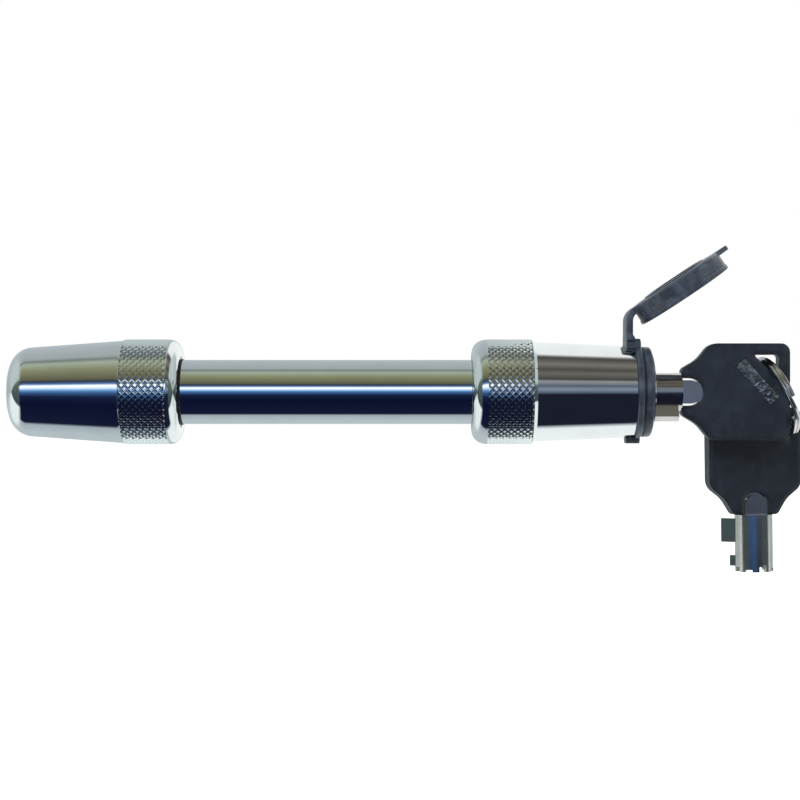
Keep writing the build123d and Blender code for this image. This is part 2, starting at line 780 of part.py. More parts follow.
with BuildPart() as key_badge:
    with BuildSketch(front_plane):
        with Locations(badge_place):
            Rectangle(badge_length - 2 * static_gap, badge_width - 2 * static_gap)
    extrude(amount=-badge_depth)

# The first key is in the lock. The spare hangs from the ring, the other way round
# and a little twisted, with its tube pointing down. Its place, and the ring's, are
# measured from the first key's ring hole, so they follow the bow.
lean = math.radians(spare_lean)
twist = math.radians(spare_twist)
spare_up = Vector(-math.sin(lean), 0, math.cos(lean))
spare_across = Vector(math.cos(lean) * math.cos(twist), math.sin(twist), math.sin(lean) * math.cos(twist))
hole_along = hole_x - ring_hole_side / 3
hole_across = hole_z - ring_hole_side / 3
first_hole = Vector(key_tip + hole_along, 0, hole_across)
spare_tip = first_hole + Vector(*spare_hang) - spare_up * hole_along - spare_across * hole_across
key_a_place = Location((key_tip, 0, 0))
key_b_place = Location(Plane(origin=spare_tip, x_dir=spare_up, z_dir=spare_across))
for key_name, place in (("key_a", key_a_place), ("key_b", key_b_place)):
    finish(key_bow.part.moved(place), key_name + "_bow")
    finish(key_shank.part.moved(place), key_name + "_shank")
    finish(key_badge.part.moved(place), key_name + "_badge")

# The split ring goes through both keys' ring holes.
ring_centre = first_hole + Vector(*ring_hang)
with BuildPart() as key_ring:
    with Locations(Plane(origin=ring_centre, z_dir=ring_normal)):
        Torus(ring_radius, ring_wire_radius)
finish(key_ring.part, "key_ring")
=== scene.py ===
import json
import math

import bmesh
import bpy
from mathutils import Matrix, Vector


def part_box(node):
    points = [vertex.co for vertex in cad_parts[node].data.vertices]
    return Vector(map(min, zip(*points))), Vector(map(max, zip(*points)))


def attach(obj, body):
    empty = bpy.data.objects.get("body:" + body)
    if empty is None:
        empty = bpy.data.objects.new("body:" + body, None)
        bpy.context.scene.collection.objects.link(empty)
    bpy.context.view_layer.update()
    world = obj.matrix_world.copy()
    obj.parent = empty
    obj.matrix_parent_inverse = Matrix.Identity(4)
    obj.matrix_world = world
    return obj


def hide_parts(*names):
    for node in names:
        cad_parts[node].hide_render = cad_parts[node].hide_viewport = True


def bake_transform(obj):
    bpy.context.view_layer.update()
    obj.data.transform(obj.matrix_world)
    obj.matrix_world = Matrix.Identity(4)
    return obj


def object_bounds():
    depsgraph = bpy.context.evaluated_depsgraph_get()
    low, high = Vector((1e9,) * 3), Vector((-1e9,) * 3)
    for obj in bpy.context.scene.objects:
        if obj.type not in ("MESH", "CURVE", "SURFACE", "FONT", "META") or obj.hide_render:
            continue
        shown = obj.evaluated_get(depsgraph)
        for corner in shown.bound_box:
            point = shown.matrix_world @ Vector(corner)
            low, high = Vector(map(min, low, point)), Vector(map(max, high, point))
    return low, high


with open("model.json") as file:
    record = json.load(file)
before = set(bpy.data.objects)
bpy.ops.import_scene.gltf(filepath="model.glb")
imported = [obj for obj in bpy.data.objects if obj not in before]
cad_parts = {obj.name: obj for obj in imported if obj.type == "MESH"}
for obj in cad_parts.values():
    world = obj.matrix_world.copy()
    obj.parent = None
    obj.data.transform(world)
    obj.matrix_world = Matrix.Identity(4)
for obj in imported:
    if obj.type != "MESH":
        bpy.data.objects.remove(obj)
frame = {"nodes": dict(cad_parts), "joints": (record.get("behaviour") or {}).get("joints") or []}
nodes = frame["nodes"]
cad_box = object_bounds()

# ---------------------------------------------------------------- camera, light and floor
# The camera looks along +Y, square on to the pin. The room is a bright studio with one
# dark side below the camera, which is what polished chrome needs to read as metal. The
# floor is plain white card.
MM = 0.001
VIEW_DISTANCE = 440 * MM
VIEW_TARGET = Vector((17.9, 0, -2.0)) * MM
VIEW_WIDTH = 198.3 * MM
SENSOR = 36.0
CLIP_NEAR = 10 * MM
CLIP_FAR = 10

camera = bpy.data.objects.new("camera", bpy.data.cameras.new("camera"))
bpy.context.scene.collection.objects.link(camera)
bpy.context.scene.camera = camera
view_direction = Vector((0, 1, 0))
camera.location = VIEW_TARGET - view_direction * VIEW_DISTANCE
camera.rotation_mode = "QUATERNION"
camera.rotation_quaternion = view_direction.to_track_quat("-Z", "Y")
camera.data.sensor_width = SENSOR
camera.data.lens = SENSOR * VIEW_DISTANCE / VIEW_WIDTH
camera.data.clip_start = CLIP_NEAR
camera.data.clip_end = CLIP_FAR
bpy.context.scene.view_settings.view_transform = "Standard"
bpy.context.scene.view_settings.look = "None"


def joined(tree, node_type, inputs=(), **settings):
    """Adds a node, sets its properties, and fills its inputs with links or plain values."""
    node = tree.nodes.new(node_type)
    for name, value in settings.items():
        setattr(node, name, value)
    for key, value in dict(inputs).items():
        if isinstance(value, bpy.types.NodeSocket):
            tree.links.new(value, node.inputs[key])
        else:
            node.inputs[key].default_value = value
    return node


def ramp(tree, factor, stops):
    """A colour ramp through (position, grey or colour) stops; returns its colour socket."""
    node = joined(tree, "ShaderNodeValToRGB", {"Fac": factor})
    elements = node.color_ramp.elements
    elements.remove(elements[1])
    for index, (position, colour) in enumerate(stops):
        element = elements.new(position) if index else elements[0]
        element.position = position
        shade = colour if isinstance(colour, tuple) else (colour, colour, colour)
        element.color = (*shade, 1)
    return node.outputs["Color"]


def maths(tree, operation, a, b=0.0):
    """One Math node; returns its value socket."""
    return joined(tree, "ShaderNodeMath", {0: a, 1: b}, operation=operation).outputs[0]


# The Mix node's colour sockets share their names with its number sockets.
COLOUR_A = 6
COLOUR_B = 7
COLOUR_RESULT = 2


def blended(tree, factor, a, b):
    """A colour Mix node; returns its colour socket."""
    inputs = {"Factor": factor, COLOUR_A: a, COLOUR_B: b}
    node = joined(tree, "ShaderNodeMix", inputs, data_type="RGBA")
    return node.outputs[COLOUR_RESULT]


def stretched(tree, value, low, high, to_low=0.0, to_high=1.0):
    """A Map Range node from low..high to to_low..to_high; returns its value socket."""
    inputs = {"Value": value, "From Min": low, "From Max": high, "To Min": to_low, "To Max": to_high}
    return joined(tree, "ShaderNodeMapRange", inputs).outputs["Result"]


# Each stop is the height above the horizon in front of the object, in degrees, and
# the light that comes from there: -180 and 180 are both level, behind the object.
ROOM_FRONT = [
    (-180, (0.52, 0.58, 0.60)),
    (-120, (0.50, 0.57, 0.60)),
    (-94, (0.40, 0.46, 0.50)),
    (-86, (0.008, 0.012, 0.035)),
    (-30, (0.004, 0.006, 0.028)),
    (-12, (0.008, 0.016, 0.05)),
    (-3, (0.04, 0.10, 0.26)),
    (3, (0.12, 0.30, 0.62)),
    (7, (0.55, 0.75, 1.0)),
    (14, (1.3, 1.4, 1.6)),
    (19, (0.10, 0.20, 0.42)),
    (25, (0.03, 0.04, 0.07)),
    (31, (0.13, 0.13, 0.08)),
    (56, (0.27, 0.28, 0.16)),
    (74, (0.40, 0.46, 0.36)),
    (83, (0.20, 0.23, 0.21)),
    (92, (0.38, 0.43, 0.43)),
    (150, (0.48, 0.53, 0.56)),
    (180, (0.52, 0.58, 0.60)),
]
ROOM_RIGHT = [
    (-180, (0.95, 0.98, 0.97)),
    (-96, (0.90, 0.95, 0.95)),
    (-88, (0.30, 0.32, 0.36)),
    (-84, (0.012, 0.014, 0.028)),
    (-6, (0.012, 0.014, 0.028)),
    (-2, (0.09, 0.12, 0.18)),
    (6, (0.24, 0.29, 0.38)),
    (14, (0.10, 0.12, 0.16)),
    (20, (0.22, 0.25, 0.28)),
    (25, (0.30, 0.31, 0.30)),
    (29, (0.06, 0.06, 0.06)),
    (44, (0.16, 0.15, 0.13)),
    (54, (0.08, 0.075, 0.065)),
    (68, (0.20, 0.19, 0.165)),
    (86, (0.07, 0.065, 0.06)),
    (91, (0.16, 0.15, 0.14)),
    (99, (0.9, 0.92, 0.92)),
    (180, (0.95, 0.98, 0.97)),
]
ROOM_ENDS = [
    (-180, (0.42, 0.48, 0.47)),
    (-130, (0.85, 0.93, 0.92)),
    (-48, (0.85, 0.95, 0.92)),
    (-40, (0.05, 0.07, 0.08)),
    (0, (0.08, 0.11, 0.11)),
    (30, (0.12, 0.16, 0.13)),
    (42, (0.50, 0.58, 0.57)),
    (100, (0.55, 0.62, 0.62)),
    (180, (0.42, 0.48, 0.47)),
]

room = bpy.data.worlds.new("studio_room")
bpy.context.scene.world = room
room.use_nodes = True
tree = room.node_tree
tree.nodes.clear()
direction = joined(tree, "ShaderNodeTexCoord").outputs["Generated"]
across = joined(tree, "ShaderNodeSeparateXYZ", {0: direction})
toward = maths(tree, "MULTIPLY", across.outputs["Y"], -1)
height = maths(tree, "ARCTAN2", across.outputs["Z"], toward)
turn = maths(tree, "ADD", maths(tree, "DIVIDE", height, 2 * math.pi), 0.5)
walls = [
    ramp(tree, turn, [((angle + 180) / 360, light) for angle, light in wall])
    for wall in (ROOM_FRONT, ROOM_RIGHT, ROOM_ENDS)
]
RIGHT_SIDE = (0.05, 0.085)
END_SIDES = (0.55, 0.7)
rightness = stretched(tree, across.outputs["X"], *RIGHT_SIDE)
endness = stretched(tree, maths(tree, "ABSOLUTE", across.outputs["X"]), *END_SIDES)
seen_in_gloss = blended(tree, endness, blended(tree, rightness, walls[0], walls[1]), walls[2])
gloss_light = joined(tree, "ShaderNodeBackground", {"Color": seen_in_gloss, "Strength": 1.0})
SOFT_LIGHT = 0.4
soft_light = joined(tree, "ShaderNodeBackground", {"Color": (1.0, 1.0, 1.0, 1), "Strength": SOFT_LIGHT})
backdrop = joined(tree, "ShaderNodeBackground", {"Color": (1.0, 1.0, 1.0, 1), "Strength": 1.0})
path = joined(tree, "ShaderNodeLightPath")
lit = joined(
    tree, "ShaderNodeMixShader",
    {0: path.outputs["Is Glossy Ray"], 1: soft_light.outputs[0], 2: gloss_light.outputs[0]},
)
shown = joined(
    tree, "ShaderNodeMixShader", {0: path.outputs["Is Camera Ray"], 1: lit.outputs[0], 2: backdrop.outputs[0]}
)
tree.links.new(shown.outputs[0], tree.nodes.new("ShaderNodeOutputWorld").inputs["Surface"])

# Each lamp's place and size in millimetres, its power in watts, and its colour.
LAMPS = {
    "window_lamp": ((-160, -320, 330), 260, 5.5, (0.93, 0.97, 1.0)),
    "side_lamp": ((330, -160, 200), 160, 1.6, (1.0, 0.97, 0.92)),
}
for lamp_name, (place, size, power, tint) in LAMPS.items():
    lamp = bpy.data.objects.new(lamp_name, bpy.data.lights.new(lamp_name, "AREA"))
    lamp.data.shape = "DISK"
    lamp.data.size = size * MM
    lamp.data.energy = power
    lamp.data.color = tint
    lamp.visible_glossy = False
    lamp.location = Vector(place) * MM
    lamp.rotation_mode = "QUATERNION"
    lamp.rotation_quaternion = (VIEW_TARGET - lamp.location).to_track_quat("-Z", "Y")
    bpy.context.scene.collection.objects.link(lamp)


def link_mesh(name, shape, smooth_angle=32):
    """Turns a finished bmesh into an object at the origin, smooth except at its edges."""
    mesh = bpy.data.meshes.new(name)
    shape.to_mesh(mesh)
    shape.free()
    mesh.shade_smooth()
    mesh.set_sharp_from_angle(angle=math.radians(smooth_angle))
    piece = bpy.data.objects.new(name, mesh)
    bpy.context.scene.collection.objects.link(piece)
    return piece


def even_out(piece):
    """Lets the large faces set the shading, so that narrow rounded edges don't bend the reflections."""
    weighting = piece.modifiers.new("even", "WEIGHTED_NORMAL")
    weighting.keep_sharp = True


FLOOR_DROP = 12 * MM
FLOOR_SIZE = 2.5
card = bmesh.new()
bmesh.ops.create_grid(card, x_segments=1, y_segments=1, size=FLOOR_SIZE)
bmesh.ops.translate(card, verts=card.verts, vec=(0, 0, cad_box[0].z - FLOOR_DROP))
floor = link_mesh("floor", card)
floor.visible_glossy = False
card_white = bpy.data.materials.new("floor_card")
card_white.use_nodes = True
card_surface = card_white.node_tree.nodes["Principled BSDF"]
card_surface.inputs["Base Color"].default_value = (0.9, 0.9, 0.9, 1)
card_surface.inputs["Roughness"].default_value = 0.9
card_surface.inputs["Emission Color"].default_value = (1, 1, 1, 1)
card_surface.inputs["Emission Strength"].default_value = 0.72
floor.data.materials.append(card_white)

# ---------------------------------------------------------------- shackle pin
# The pin is one steel turning, centreless ground and chrome plated: a spigot inside
# the fixed head, the shank that carries the load, a journal, a locking neck and a nose.
TURN_STEPS = 144
MERGE_DISTANCE = 0.001 * MM


def turned(shape, outline, steps=TURN_STEPS):
    """Spins a closed outline of (x, radius) points in millimetres about the pin's axis."""
    corners = [shape.verts.new((x * MM, 0, radius * MM)) for x, radius in outline]
    edges = [shape.edges.new(pair) for pair in zip(corners, corners[1:] + corners[:1])]
    bmesh.ops.spin(
        shape, geom=corners + edges, cent=(0, 0, 0), axis=(1, 0, 0), angle=2 * math.pi, steps=steps,
        use_merge=True,
    )
    bmesh.ops.remove_doubles(shape, verts=shape.verts, dist=MERGE_DISTANCE)
    bmesh.ops.dissolve_degenerate(shape, edges=shape.edges, dist=MERGE_DISTANCE / 2)
    bmesh.ops.recalc_face_normals(shape, faces=shape.faces)


EDGE_REACH = 0.02


def soften(shape, x, radius, width, segments=3):
    """Rounds the circular edge of a turned shape that stands at x and radius, in millimetres."""
    ring = []
    for edge in shape.edges:
        near = [
            abs(v.co.x / MM - x) < EDGE_REACH and abs(math.hypot(v.co.y, v.co.z) / MM - radius) < EDGE_REACH
            for v in edge.verts
        ]
        if all(near):
            ring.append(edge)
    bmesh.ops.bevel(
        shape, geom=ring, offset=width * MM, offset_type="OFFSET", segments=segments, profile=0.5,
        affect="EDGES", material=-1,
    )


def arc(centre, reach, start, end, steps=10):
    """Points of an elliptical arc about (x, radius), from one angle in degrees to another."""
    angles = [math.radians(start + (end - start) * i / steps) for i in range(steps + 1)]
    return [(centre[0] + reach[0] * math.cos(a), centre[1] + reach[1] * math.sin(a)) for a in angles]


def box_mm(node):
    """The lowest and highest corner of a CAD node at rest, in millimetres."""
    low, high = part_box(node)
    return low / MM, high / MM


def group(name, inputs, outputs):
    """Starts a shader node group with (name, socket type, default) inputs and named outputs."""
    made = bpy.data.node_groups.new(name, "ShaderNodeTree")
    for label, kind, value in inputs:
        made.interface.new_socket(label, in_out="INPUT", socket_type=kind).default_value = value
    for label, kind in outputs:
        made.interface.new_socket(label, in_out="OUTPUT", socket_type=kind)
    return made, made.nodes.new("NodeGroupInput").outputs, made.nodes.new("NodeGroupOutput").inputs


def millimetres(tree):
    """Object coordinates in millimetres; returns the vector socket."""
    place = joined(tree, "ShaderNodeTexCoord").outputs["Object"]
    return joined(tree, "ShaderNodeMapping", {"Vector": place, "Scale": (1 / MM, 1 / MM, 1 / MM)}).outputs[0]


# Metal wear: a soft cloud for colour, and fine scratches and specks for the gloss.
wear, given, result = group(
    "metal_wear",
    [
        ("Base", "NodeSocketColor", (0.8, 0.8, 0.8, 1)),
        ("Stain", "NodeSocketColor", (0.5, 0.5, 0.5, 1)),
        ("Stain amount", "NodeSocketFloat", 0.2),
        ("Gloss", "NodeSocketFloat", 0.08),
        ("Scratch", "NodeSocketFloat", 0.1),
        ("Grain size", "NodeSocketFloat", 0.5),
        ("Relief", "NodeSocketFloat", 0.02),
    ],
    [("Color", "NodeSocketColor"), ("Roughness", "NodeSocketFloat"), ("Normal", "NodeSocketVector")],
)
in_mm = millimetres(wear)
cloud = joined(wear, "ShaderNodeTexNoise", {"Vector": in_mm, "Scale": 0.14, "Detail": 3.0}).outputs["Fac"]
stained = stretched(wear, cloud, 0.45, 0.75, 0.0, given["Stain amount"])
wear.links.new(blended(wear, stained, given["Base"], given["Stain"]), result["Color"])
drawn = joined(wear, "ShaderNodeMapping", {"Vector": in_mm, "Scale": (0.25, 1.0, 1.0)}).outputs[0]
size = maths(wear, "DIVIDE", 1.0, given["Grain size"])
lines = joined(wear, "ShaderNodeTexNoise", {"Vector": drawn, "Scale": size, "Detail": 5.0}).outputs["Fac"]
marked = stretched(wear, lines, 0.5, 0.8, 0.0, given["Scratch"])
wear.links.new(maths(wear, "ADD", given["Gloss"], marked), result["Roughness"])
SCRATCH_DEPTH = 0.05 * MM
relief = {"Strength": given["Relief"], "Distance": SCRATCH_DEPTH, "Height": lines}
bump = joined(wear, "ShaderNodeBump", relief)
wear.links.new(bump.outputs[0], result["Normal"])


def finish_of(name, metallic, **settings):
    """Starts a material and returns it with its tree and its Principled shader, constants set."""
    made = bpy.data.materials.new(name)
    made.use_nodes = True
    surface = made.node_tree.nodes["Principled BSDF"]
    surface.inputs["Metallic"].default_value = metallic
    for label, value in settings.items():
        surface.inputs[label.replace("_", " ")].default_value = value
    return made, made.node_tree, surface


def metal(name, base, stain, stain_amount, gloss, scratch, grain, relief):
    """A plated or bare metal with its own wear."""
    made, tree, surface = finish_of(name, 1.0)
    worn = joined(tree, "ShaderNodeGroup", node_tree=wear)
    amounts = (stain_amount, gloss, scratch, grain, relief)
    worn.inputs["Base"].default_value = (*base, 1)
    worn.inputs["Stain"].default_value = (*stain, 1)
    for label, value in zip(("Stain amount", "Gloss", "Scratch", "Grain size", "Relief"), amounts):
        worn.inputs[label].default_value = value
    tree.links.new(worn.outputs["Color"], surface.inputs["Base Color"])
    tree.links.new(worn.outputs["Roughness"], surface.inputs["Roughness"])
    tree.links.new(worn.outputs["Normal"], surface.inputs["Normal"])
    return made


PLATED = (0.88, 0.90, 0.91)
PLATED_DULL = (0.74, 0.76, 0.78)
chrome = metal("chrome_plate", PLATED, PLATED_DULL, 0.35, 0.035, 0.05, 0.8, 0.015)

pin_low, pin_high = box_mm("shackle_pin")
head_low, head_high = box_mm("fixed_head")
seal_low, seal_high = box_mm("fixed_head_o_ring")
bush_low, bush_high = box_mm("mouth_bush")
dog_low, dog_high = box_mm("upper_dog")
SHANK_RADIUS = pin_high.z
SPIGOT_RADIUS = 6.0
SEAL_LAND = 0.3
JOURNAL_RELIEF = 0.29
NOSE_RELIEF = 2.25
NECK_DEPTH = 1.4
NECK_MARGIN = 0.33
NOSE_CHAMFER = 0.8
SMALL_GAP = 0.1
JOURNAL_SETBACK = 0.25
SHANK_BREAK = 0.12
JOURNAL_BREAK = 0.5
NOSE_BREAK = 0.2
journal_radius = SHANK_RADIUS - JOURNAL_RELIEF
nose_radius = journal_radius - NOSE_RELIEF
neck_radius = nose_radius - NECK_DEPTH
journal_end = bush_high.x - JOURNAL_SETBACK
pin_shape = bmesh.new()
turned(pin_shape, [
    (pin_low.x, 0),
    (pin_low.x, SPIGOT_RADIUS),
    (seal_low.x, SPIGOT_RADIUS),
    (seal_low.x, SHANK_RADIUS - SEAL_LAND),
    (-bush_low.x, SHANK_RADIUS - SEAL_LAND),
    (-bush_low.x, SHANK_RADIUS),
    (bush_low.x - SMALL_GAP, SHANK_RADIUS),
    (bush_low.x - SMALL_GAP, journal_radius),
    (journal_end, journal_radius),
    (journal_end, nose_radius),
    (dog_low.x - NECK_MARGIN, nose_radius),
    (dog_low.x - NECK_MARGIN, neck_radius),
    (dog_high.x + NECK_MARGIN, neck_radius),
    (dog_high.x + NECK_MARGIN, nose_radius),
    (pin_high.x - NOSE_CHAMFER, nose_radius),
    (pin_high.x, nose_radius - NOSE_CHAMFER),
    (pin_high.x, 0),
])
soften(pin_shape, bush_low.x - SMALL_GAP, SHANK_RADIUS, SHANK_BREAK)
soften(pin_shape, journal_end, journal_radius, JOURNAL_BREAK)
soften(pin_shape, pin_high.x - NOSE_CHAMFER, nose_radius, NOSE_BREAK)
pin = link_mesh("ground_pin", pin_shape)
even_out(pin)
pin.data.materials.append(chrome)
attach(pin, "pin")
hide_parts("shackle_pin")

# ---------------------------------------------------------------- fixed head
# The fixed head is turned from bar, rolled with a diamond knurl next to its rounded
# shoulder, tapered to a big end radius, chrome plated and pressed on the pin's spigot.
KNURL_AROUND = 52
KNURL_PITCH = 1.62
KNURL_HEIGHT = 0.42
KNURL_LAND = 0.24
KNURL_CORE = 0.9
CUT_TOLERANCE = 1e-5


def add_to(shape, addition):
    """Moves the whole of one bmesh into another."""
    carried = bpy.data.meshes.new("addition")
    addition.to_mesh(carried)
    addition.free()
    shape.from_mesh(carried)
    bpy.data.meshes.remove(carried)


def knurl(shape, start, end, tip_radius):
    """A closed sleeve of small cut-off pyramids, in rows that cross in diamonds."""
    rows = (end - start) / KNURL_PITCH
    cells = KNURL_AROUND + math.ceil(rows) + 2
    sleeve = bmesh.new()
    side = math.sqrt(0.5)
    bmesh.ops.create_grid(sleeve, x_segments=cells, y_segments=cells, size=cells * side / 2)
    bmesh.ops.rotate(sleeve, verts=sleeve.verts, cent=(0, 0, 0), matrix=Matrix.Rotation(math.pi / 4, 3, "Z"))
    shift = Vector((KNURL_AROUND / 2, round(rows / 2) + (cells % 2) / 2, 0))
    bmesh.ops.translate(sleeve, verts=sleeve.verts, vec=shift)
    far = []
    for face in sleeve.faces:
        middle = face.calc_center_median()
        if not (-1 < middle.x < KNURL_AROUND + 1 and -1 < middle.y < rows + 1):
            far.append(face)
    bmesh.ops.delete(sleeve, geom=far, context="FACES")
    bmesh.ops.inset_individual(sleeve, faces=sleeve.faces, thickness=KNURL_LAND, depth=KNURL_HEIGHT)
    trims = [
        ((0, 0, 0), (-1, 0, 0)),
        ((KNURL_AROUND, 0, 0), (1, 0, 0)),
        ((0, 0, 0), (0, -1, 0)),
        ((0, rows, 0), (0, 1, 0)),
    ]
    for plane_point, outward in trims:
        bmesh.ops.bisect_plane(
            sleeve, geom=sleeve.verts[:] + sleeve.edges[:] + sleeve.faces[:], dist=CUT_TOLERANCE,
            plane_co=plane_point, plane_no=outward, clear_outer=True,
        )
    root = tip_radius - KNURL_HEIGHT
    for vertex in sleeve.verts:
        angle = vertex.co.x / KNURL_AROUND * 2 * math.pi
        radius = root + vertex.co.z
        along = start + vertex.co.y / rows * (end - start)
        vertex.co = Vector((along, radius * math.cos(angle), radius * math.sin(angle))) * MM
    bmesh.ops.remove_doubles(sleeve, verts=sleeve.verts, dist=2 * MERGE_DISTANCE)
    rims = [edge for edge in sleeve.edges if edge.is_boundary]
    walls = bmesh.ops.extrude_edge_only(sleeve, edges=rims)["geom"]
    for vertex in [g for g in walls if isinstance(g, bmesh.types.BMVert)]:
        flat = Vector((0, vertex.co.y, vertex.co.z)).normalized() * (root - KNURL_CORE) * MM
        vertex.co = Vector((vertex.co.x, flat.y, flat.z))
    inner = [g for g in walls if isinstance(g, bmesh.types.BMEdge) and g.is_boundary]
    bmesh.ops.bridge_loops(sleeve, edges=inner)
    bmesh.ops.recalc_face_normals(sleeve, faces=sleeve.faces)
    add_to(shape, sleeve)


SHOULDER_DROP = 3.0
FIXED_SHOULDER = 2.8
KNURL_LENGTH = 11.0
KNURL_STEP = 0.9
KNURL_SHOULDER_GAP = 0.05
KNURL_END_BREAK = 0.12
SHOULDER_EDGE = 0.06
SHOULDER_TRIM = 0.04
SHOULDER_STEPS = 14
SHOULDER_TOP = 84
SEAL_POCKET_GAP = 0.05
POCKET_CHAMFER = 0.25
HEAD_SMOOTH = 20
FIXED_ROOT_RADIUS = 12.65
FIXED_END_RADIUS = 10.65
END_ROUND = 5.115
END_STEPS = 12
knurl_radius = head_high.z
knurl_core = knurl_radius - KNURL_HEIGHT - KNURL_SHOULDER_GAP
fixed_knurl_end = head_high.x - FIXED_SHOULDER
fixed_knurl_start = fixed_knurl_end - KNURL_LENGTH
fixed_root = fixed_knurl_start - KNURL_STEP
seal_pocket = seal_high.z + SEAL_POCKET_GAP
head_shape = bmesh.new()
turned(head_shape, [
    (fixed_root, FIXED_ROOT_RADIUS),
    (fixed_knurl_start - KNURL_END_BREAK, knurl_radius - KNURL_END_BREAK),
    (fixed_knurl_start, knurl_core),
    (fixed_knurl_end, knurl_core),
    (fixed_knurl_end, knurl_radius - SHOULDER_EDGE),
    *arc(
        (fixed_knurl_end, knurl_radius - SHOULDER_DROP), (FIXED_SHOULDER, SHOULDER_DROP - SHOULDER_TRIM),
        SHOULDER_TOP, 0, SHOULDER_STEPS,
    ),
    (head_high.x, seal_pocket + POCKET_CHAMFER),
    (head_high.x - POCKET_CHAMFER, seal_pocket),
    (seal_low.x, seal_pocket),
    (seal_low.x, SPIGOT_RADIUS),
    (pin_low.x, SPIGOT_RADIUS),
    (pin_low.x, 0),
    (head_low.x, 0),
    (head_low.x, FIXED_END_RADIUS),
])
soften(head_shape, head_low.x, FIXED_END_RADIUS, END_ROUND, END_STEPS)
knurl(head_shape, fixed_knurl_start, fixed_knurl_end, knurl_radius)
fixed_head = link_mesh("knurled_fixed_head", head_shape, HEAD_SMOOTH)
even_out(fixed_head)
fixed_head.data.materials.append(chrome)
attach(fixed_head, "pin")
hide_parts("fixed_head")

# ---------------------------------------------------------------- seals
# The face seal is a square-cut nitrile ring on the shank that fills the gap to the
# hitch tube. The wiper seal is moulded of the same black rubber and sits in the mouth.
grain, given, result = group(
    "moulded_grain",
    [
        ("Base", "NodeSocketColor", (0.02, 0.02, 0.03, 1)),
        ("Dust", "NodeSocketColor", (0.1, 0.1, 0.12, 1)),
        ("Dust amount", "NodeSocketFloat", 0.3),
        ("Gloss", "NodeSocketFloat", 0.4),
        ("Grain size", "NodeSocketFloat", 0.2),
        ("Relief", "NodeSocketFloat", 0.15),
    ],
    [("Color", "NodeSocketColor"), ("Roughness", "NodeSocketFloat"), ("Normal", "NodeSocketVector")],
)
in_mm = millimetres(grain)
patches = joined(grain, "ShaderNodeTexNoise", {"Vector": in_mm, "Scale": 0.35, "Detail": 6.0}).outputs["Fac"]
dusted = stretched(grain, patches, 0.42, 0.78, 0.0, given["Dust amount"])
grain.links.new(blended(grain, dusted, given["Base"], given["Dust"]), result["Color"])
size = maths(grain, "DIVIDE", 1.0, given["Grain size"])
specks = joined(grain, "ShaderNodeTexNoise", {"Vector": in_mm, "Scale": size, "Detail": 4.0}).outputs["Fac"]
dulled = stretched(grain, specks, 0.3, 0.8, -0.06, 0.12)
grain.links.new(maths(grain, "ADD", given["Gloss"], dulled), result["Roughness"])
GRAIN_DEPTH = 0.06 * MM
relief = {"Strength": given["Relief"], "Distance": GRAIN_DEPTH, "Height": specks}
bump = joined(grain, "ShaderNodeBump", relief)
grain.links.new(bump.outputs[0], result["Normal"])


def moulding(name, base, dust, dust_amount, gloss, grain_size, relief, specular=0.5):
    """A moulded rubber or plastic with its own grain and dust."""
    made, tree, surface = finish_of(name, 0.0, Specular_IOR_Level=specular)
    skin = joined(tree, "ShaderNodeGroup", node_tree=grain)
    skin.inputs["Base"].default_value = (*base, 1)
    skin.inputs["Dust"].default_value = (*dust, 1)
    amounts = (dust_amount, gloss, grain_size, relief)
    for label, value in zip(("Dust amount", "Gloss", "Grain size", "Relief"), amounts):
        skin.inputs[label].default_value = value
    tree.links.new(skin.outputs["Color"], surface.inputs["Base Color"])
    tree.links.new(skin.outputs["Roughness"], surface.inputs["Roughness"])
    tree.links.new(skin.outputs["Normal"], surface.inputs["Normal"])
    return made


seal_rubber = moulding("seal_rubber", (0.005, 0.005, 0.007), (0.02, 0.02, 0.022), 0.3, 0.5, 0.12, 0.15, 0.3)
SEAL_ROUND = 0.2
SEAL_PROUD = 0.22
SEAL_TURN_STEPS = 96
seal_top = SHANK_RADIUS + SEAL_PROUD
seal_shape = bmesh.new()
turned(seal_shape, [
    (seal_low.x, SHANK_RADIUS - SEAL_LAND),
    (seal_low.x, seal_top),
    (seal_high.x, seal_top),
    (seal_high.x, SHANK_RADIUS - SEAL_LAND),
], SEAL_TURN_STEPS)
soften(seal_shape, seal_high.x, seal_top, SEAL_ROUND, 4)
face_seal = link_mesh("face_seal", seal_shape)
face_seal.data.materials.append(seal_rubber)
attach(face_seal, "pin")
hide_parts("fixed_head_o_ring")

# ---------------------------------------------------------------- lock head
# The lock head's body is turned and knurled like the fixed head, then bored for the
# latch and the lock cylinder. A spigot at its key end holds the rubber collar.
LOCK_SHOULDER = 3.6
COLLAR_STEP = 1.3
BARREL_TAPER = 1.05
shell_low = box_mm("cylinder_shell")[0]
body_low, body_high = box_mm("lock_body")
FLANGE_LENGTH = 1.0
SHELL_RADIUS = 8.5
SPIGOT_WALL = 1.5
COLLAR_LENGTH = 4.1
COLLAR_SPIGOT_PROUD = 0.4
BUSH_FIT = 0.02
SHELL_FIT = 0.05
LOCK_SHOULDER_TOP = 96
SEAT_BREAK = 0.25
SPIGOT_BREAK = 0.3
collar_spigot = SHELL_RADIUS + SPIGOT_WALL
barrel_end_radius = collar_spigot + COLLAR_STEP
bore_radius = bush_high.z + BUSH_FIT
collar_seat = body_high.x - COLLAR_LENGTH - COLLAR_SPIGOT_PROUD
lock_knurl_start = body_low.x + LOCK_SHOULDER
lock_knurl_end = lock_knurl_start + KNURL_LENGTH
lock_shape = bmesh.new()
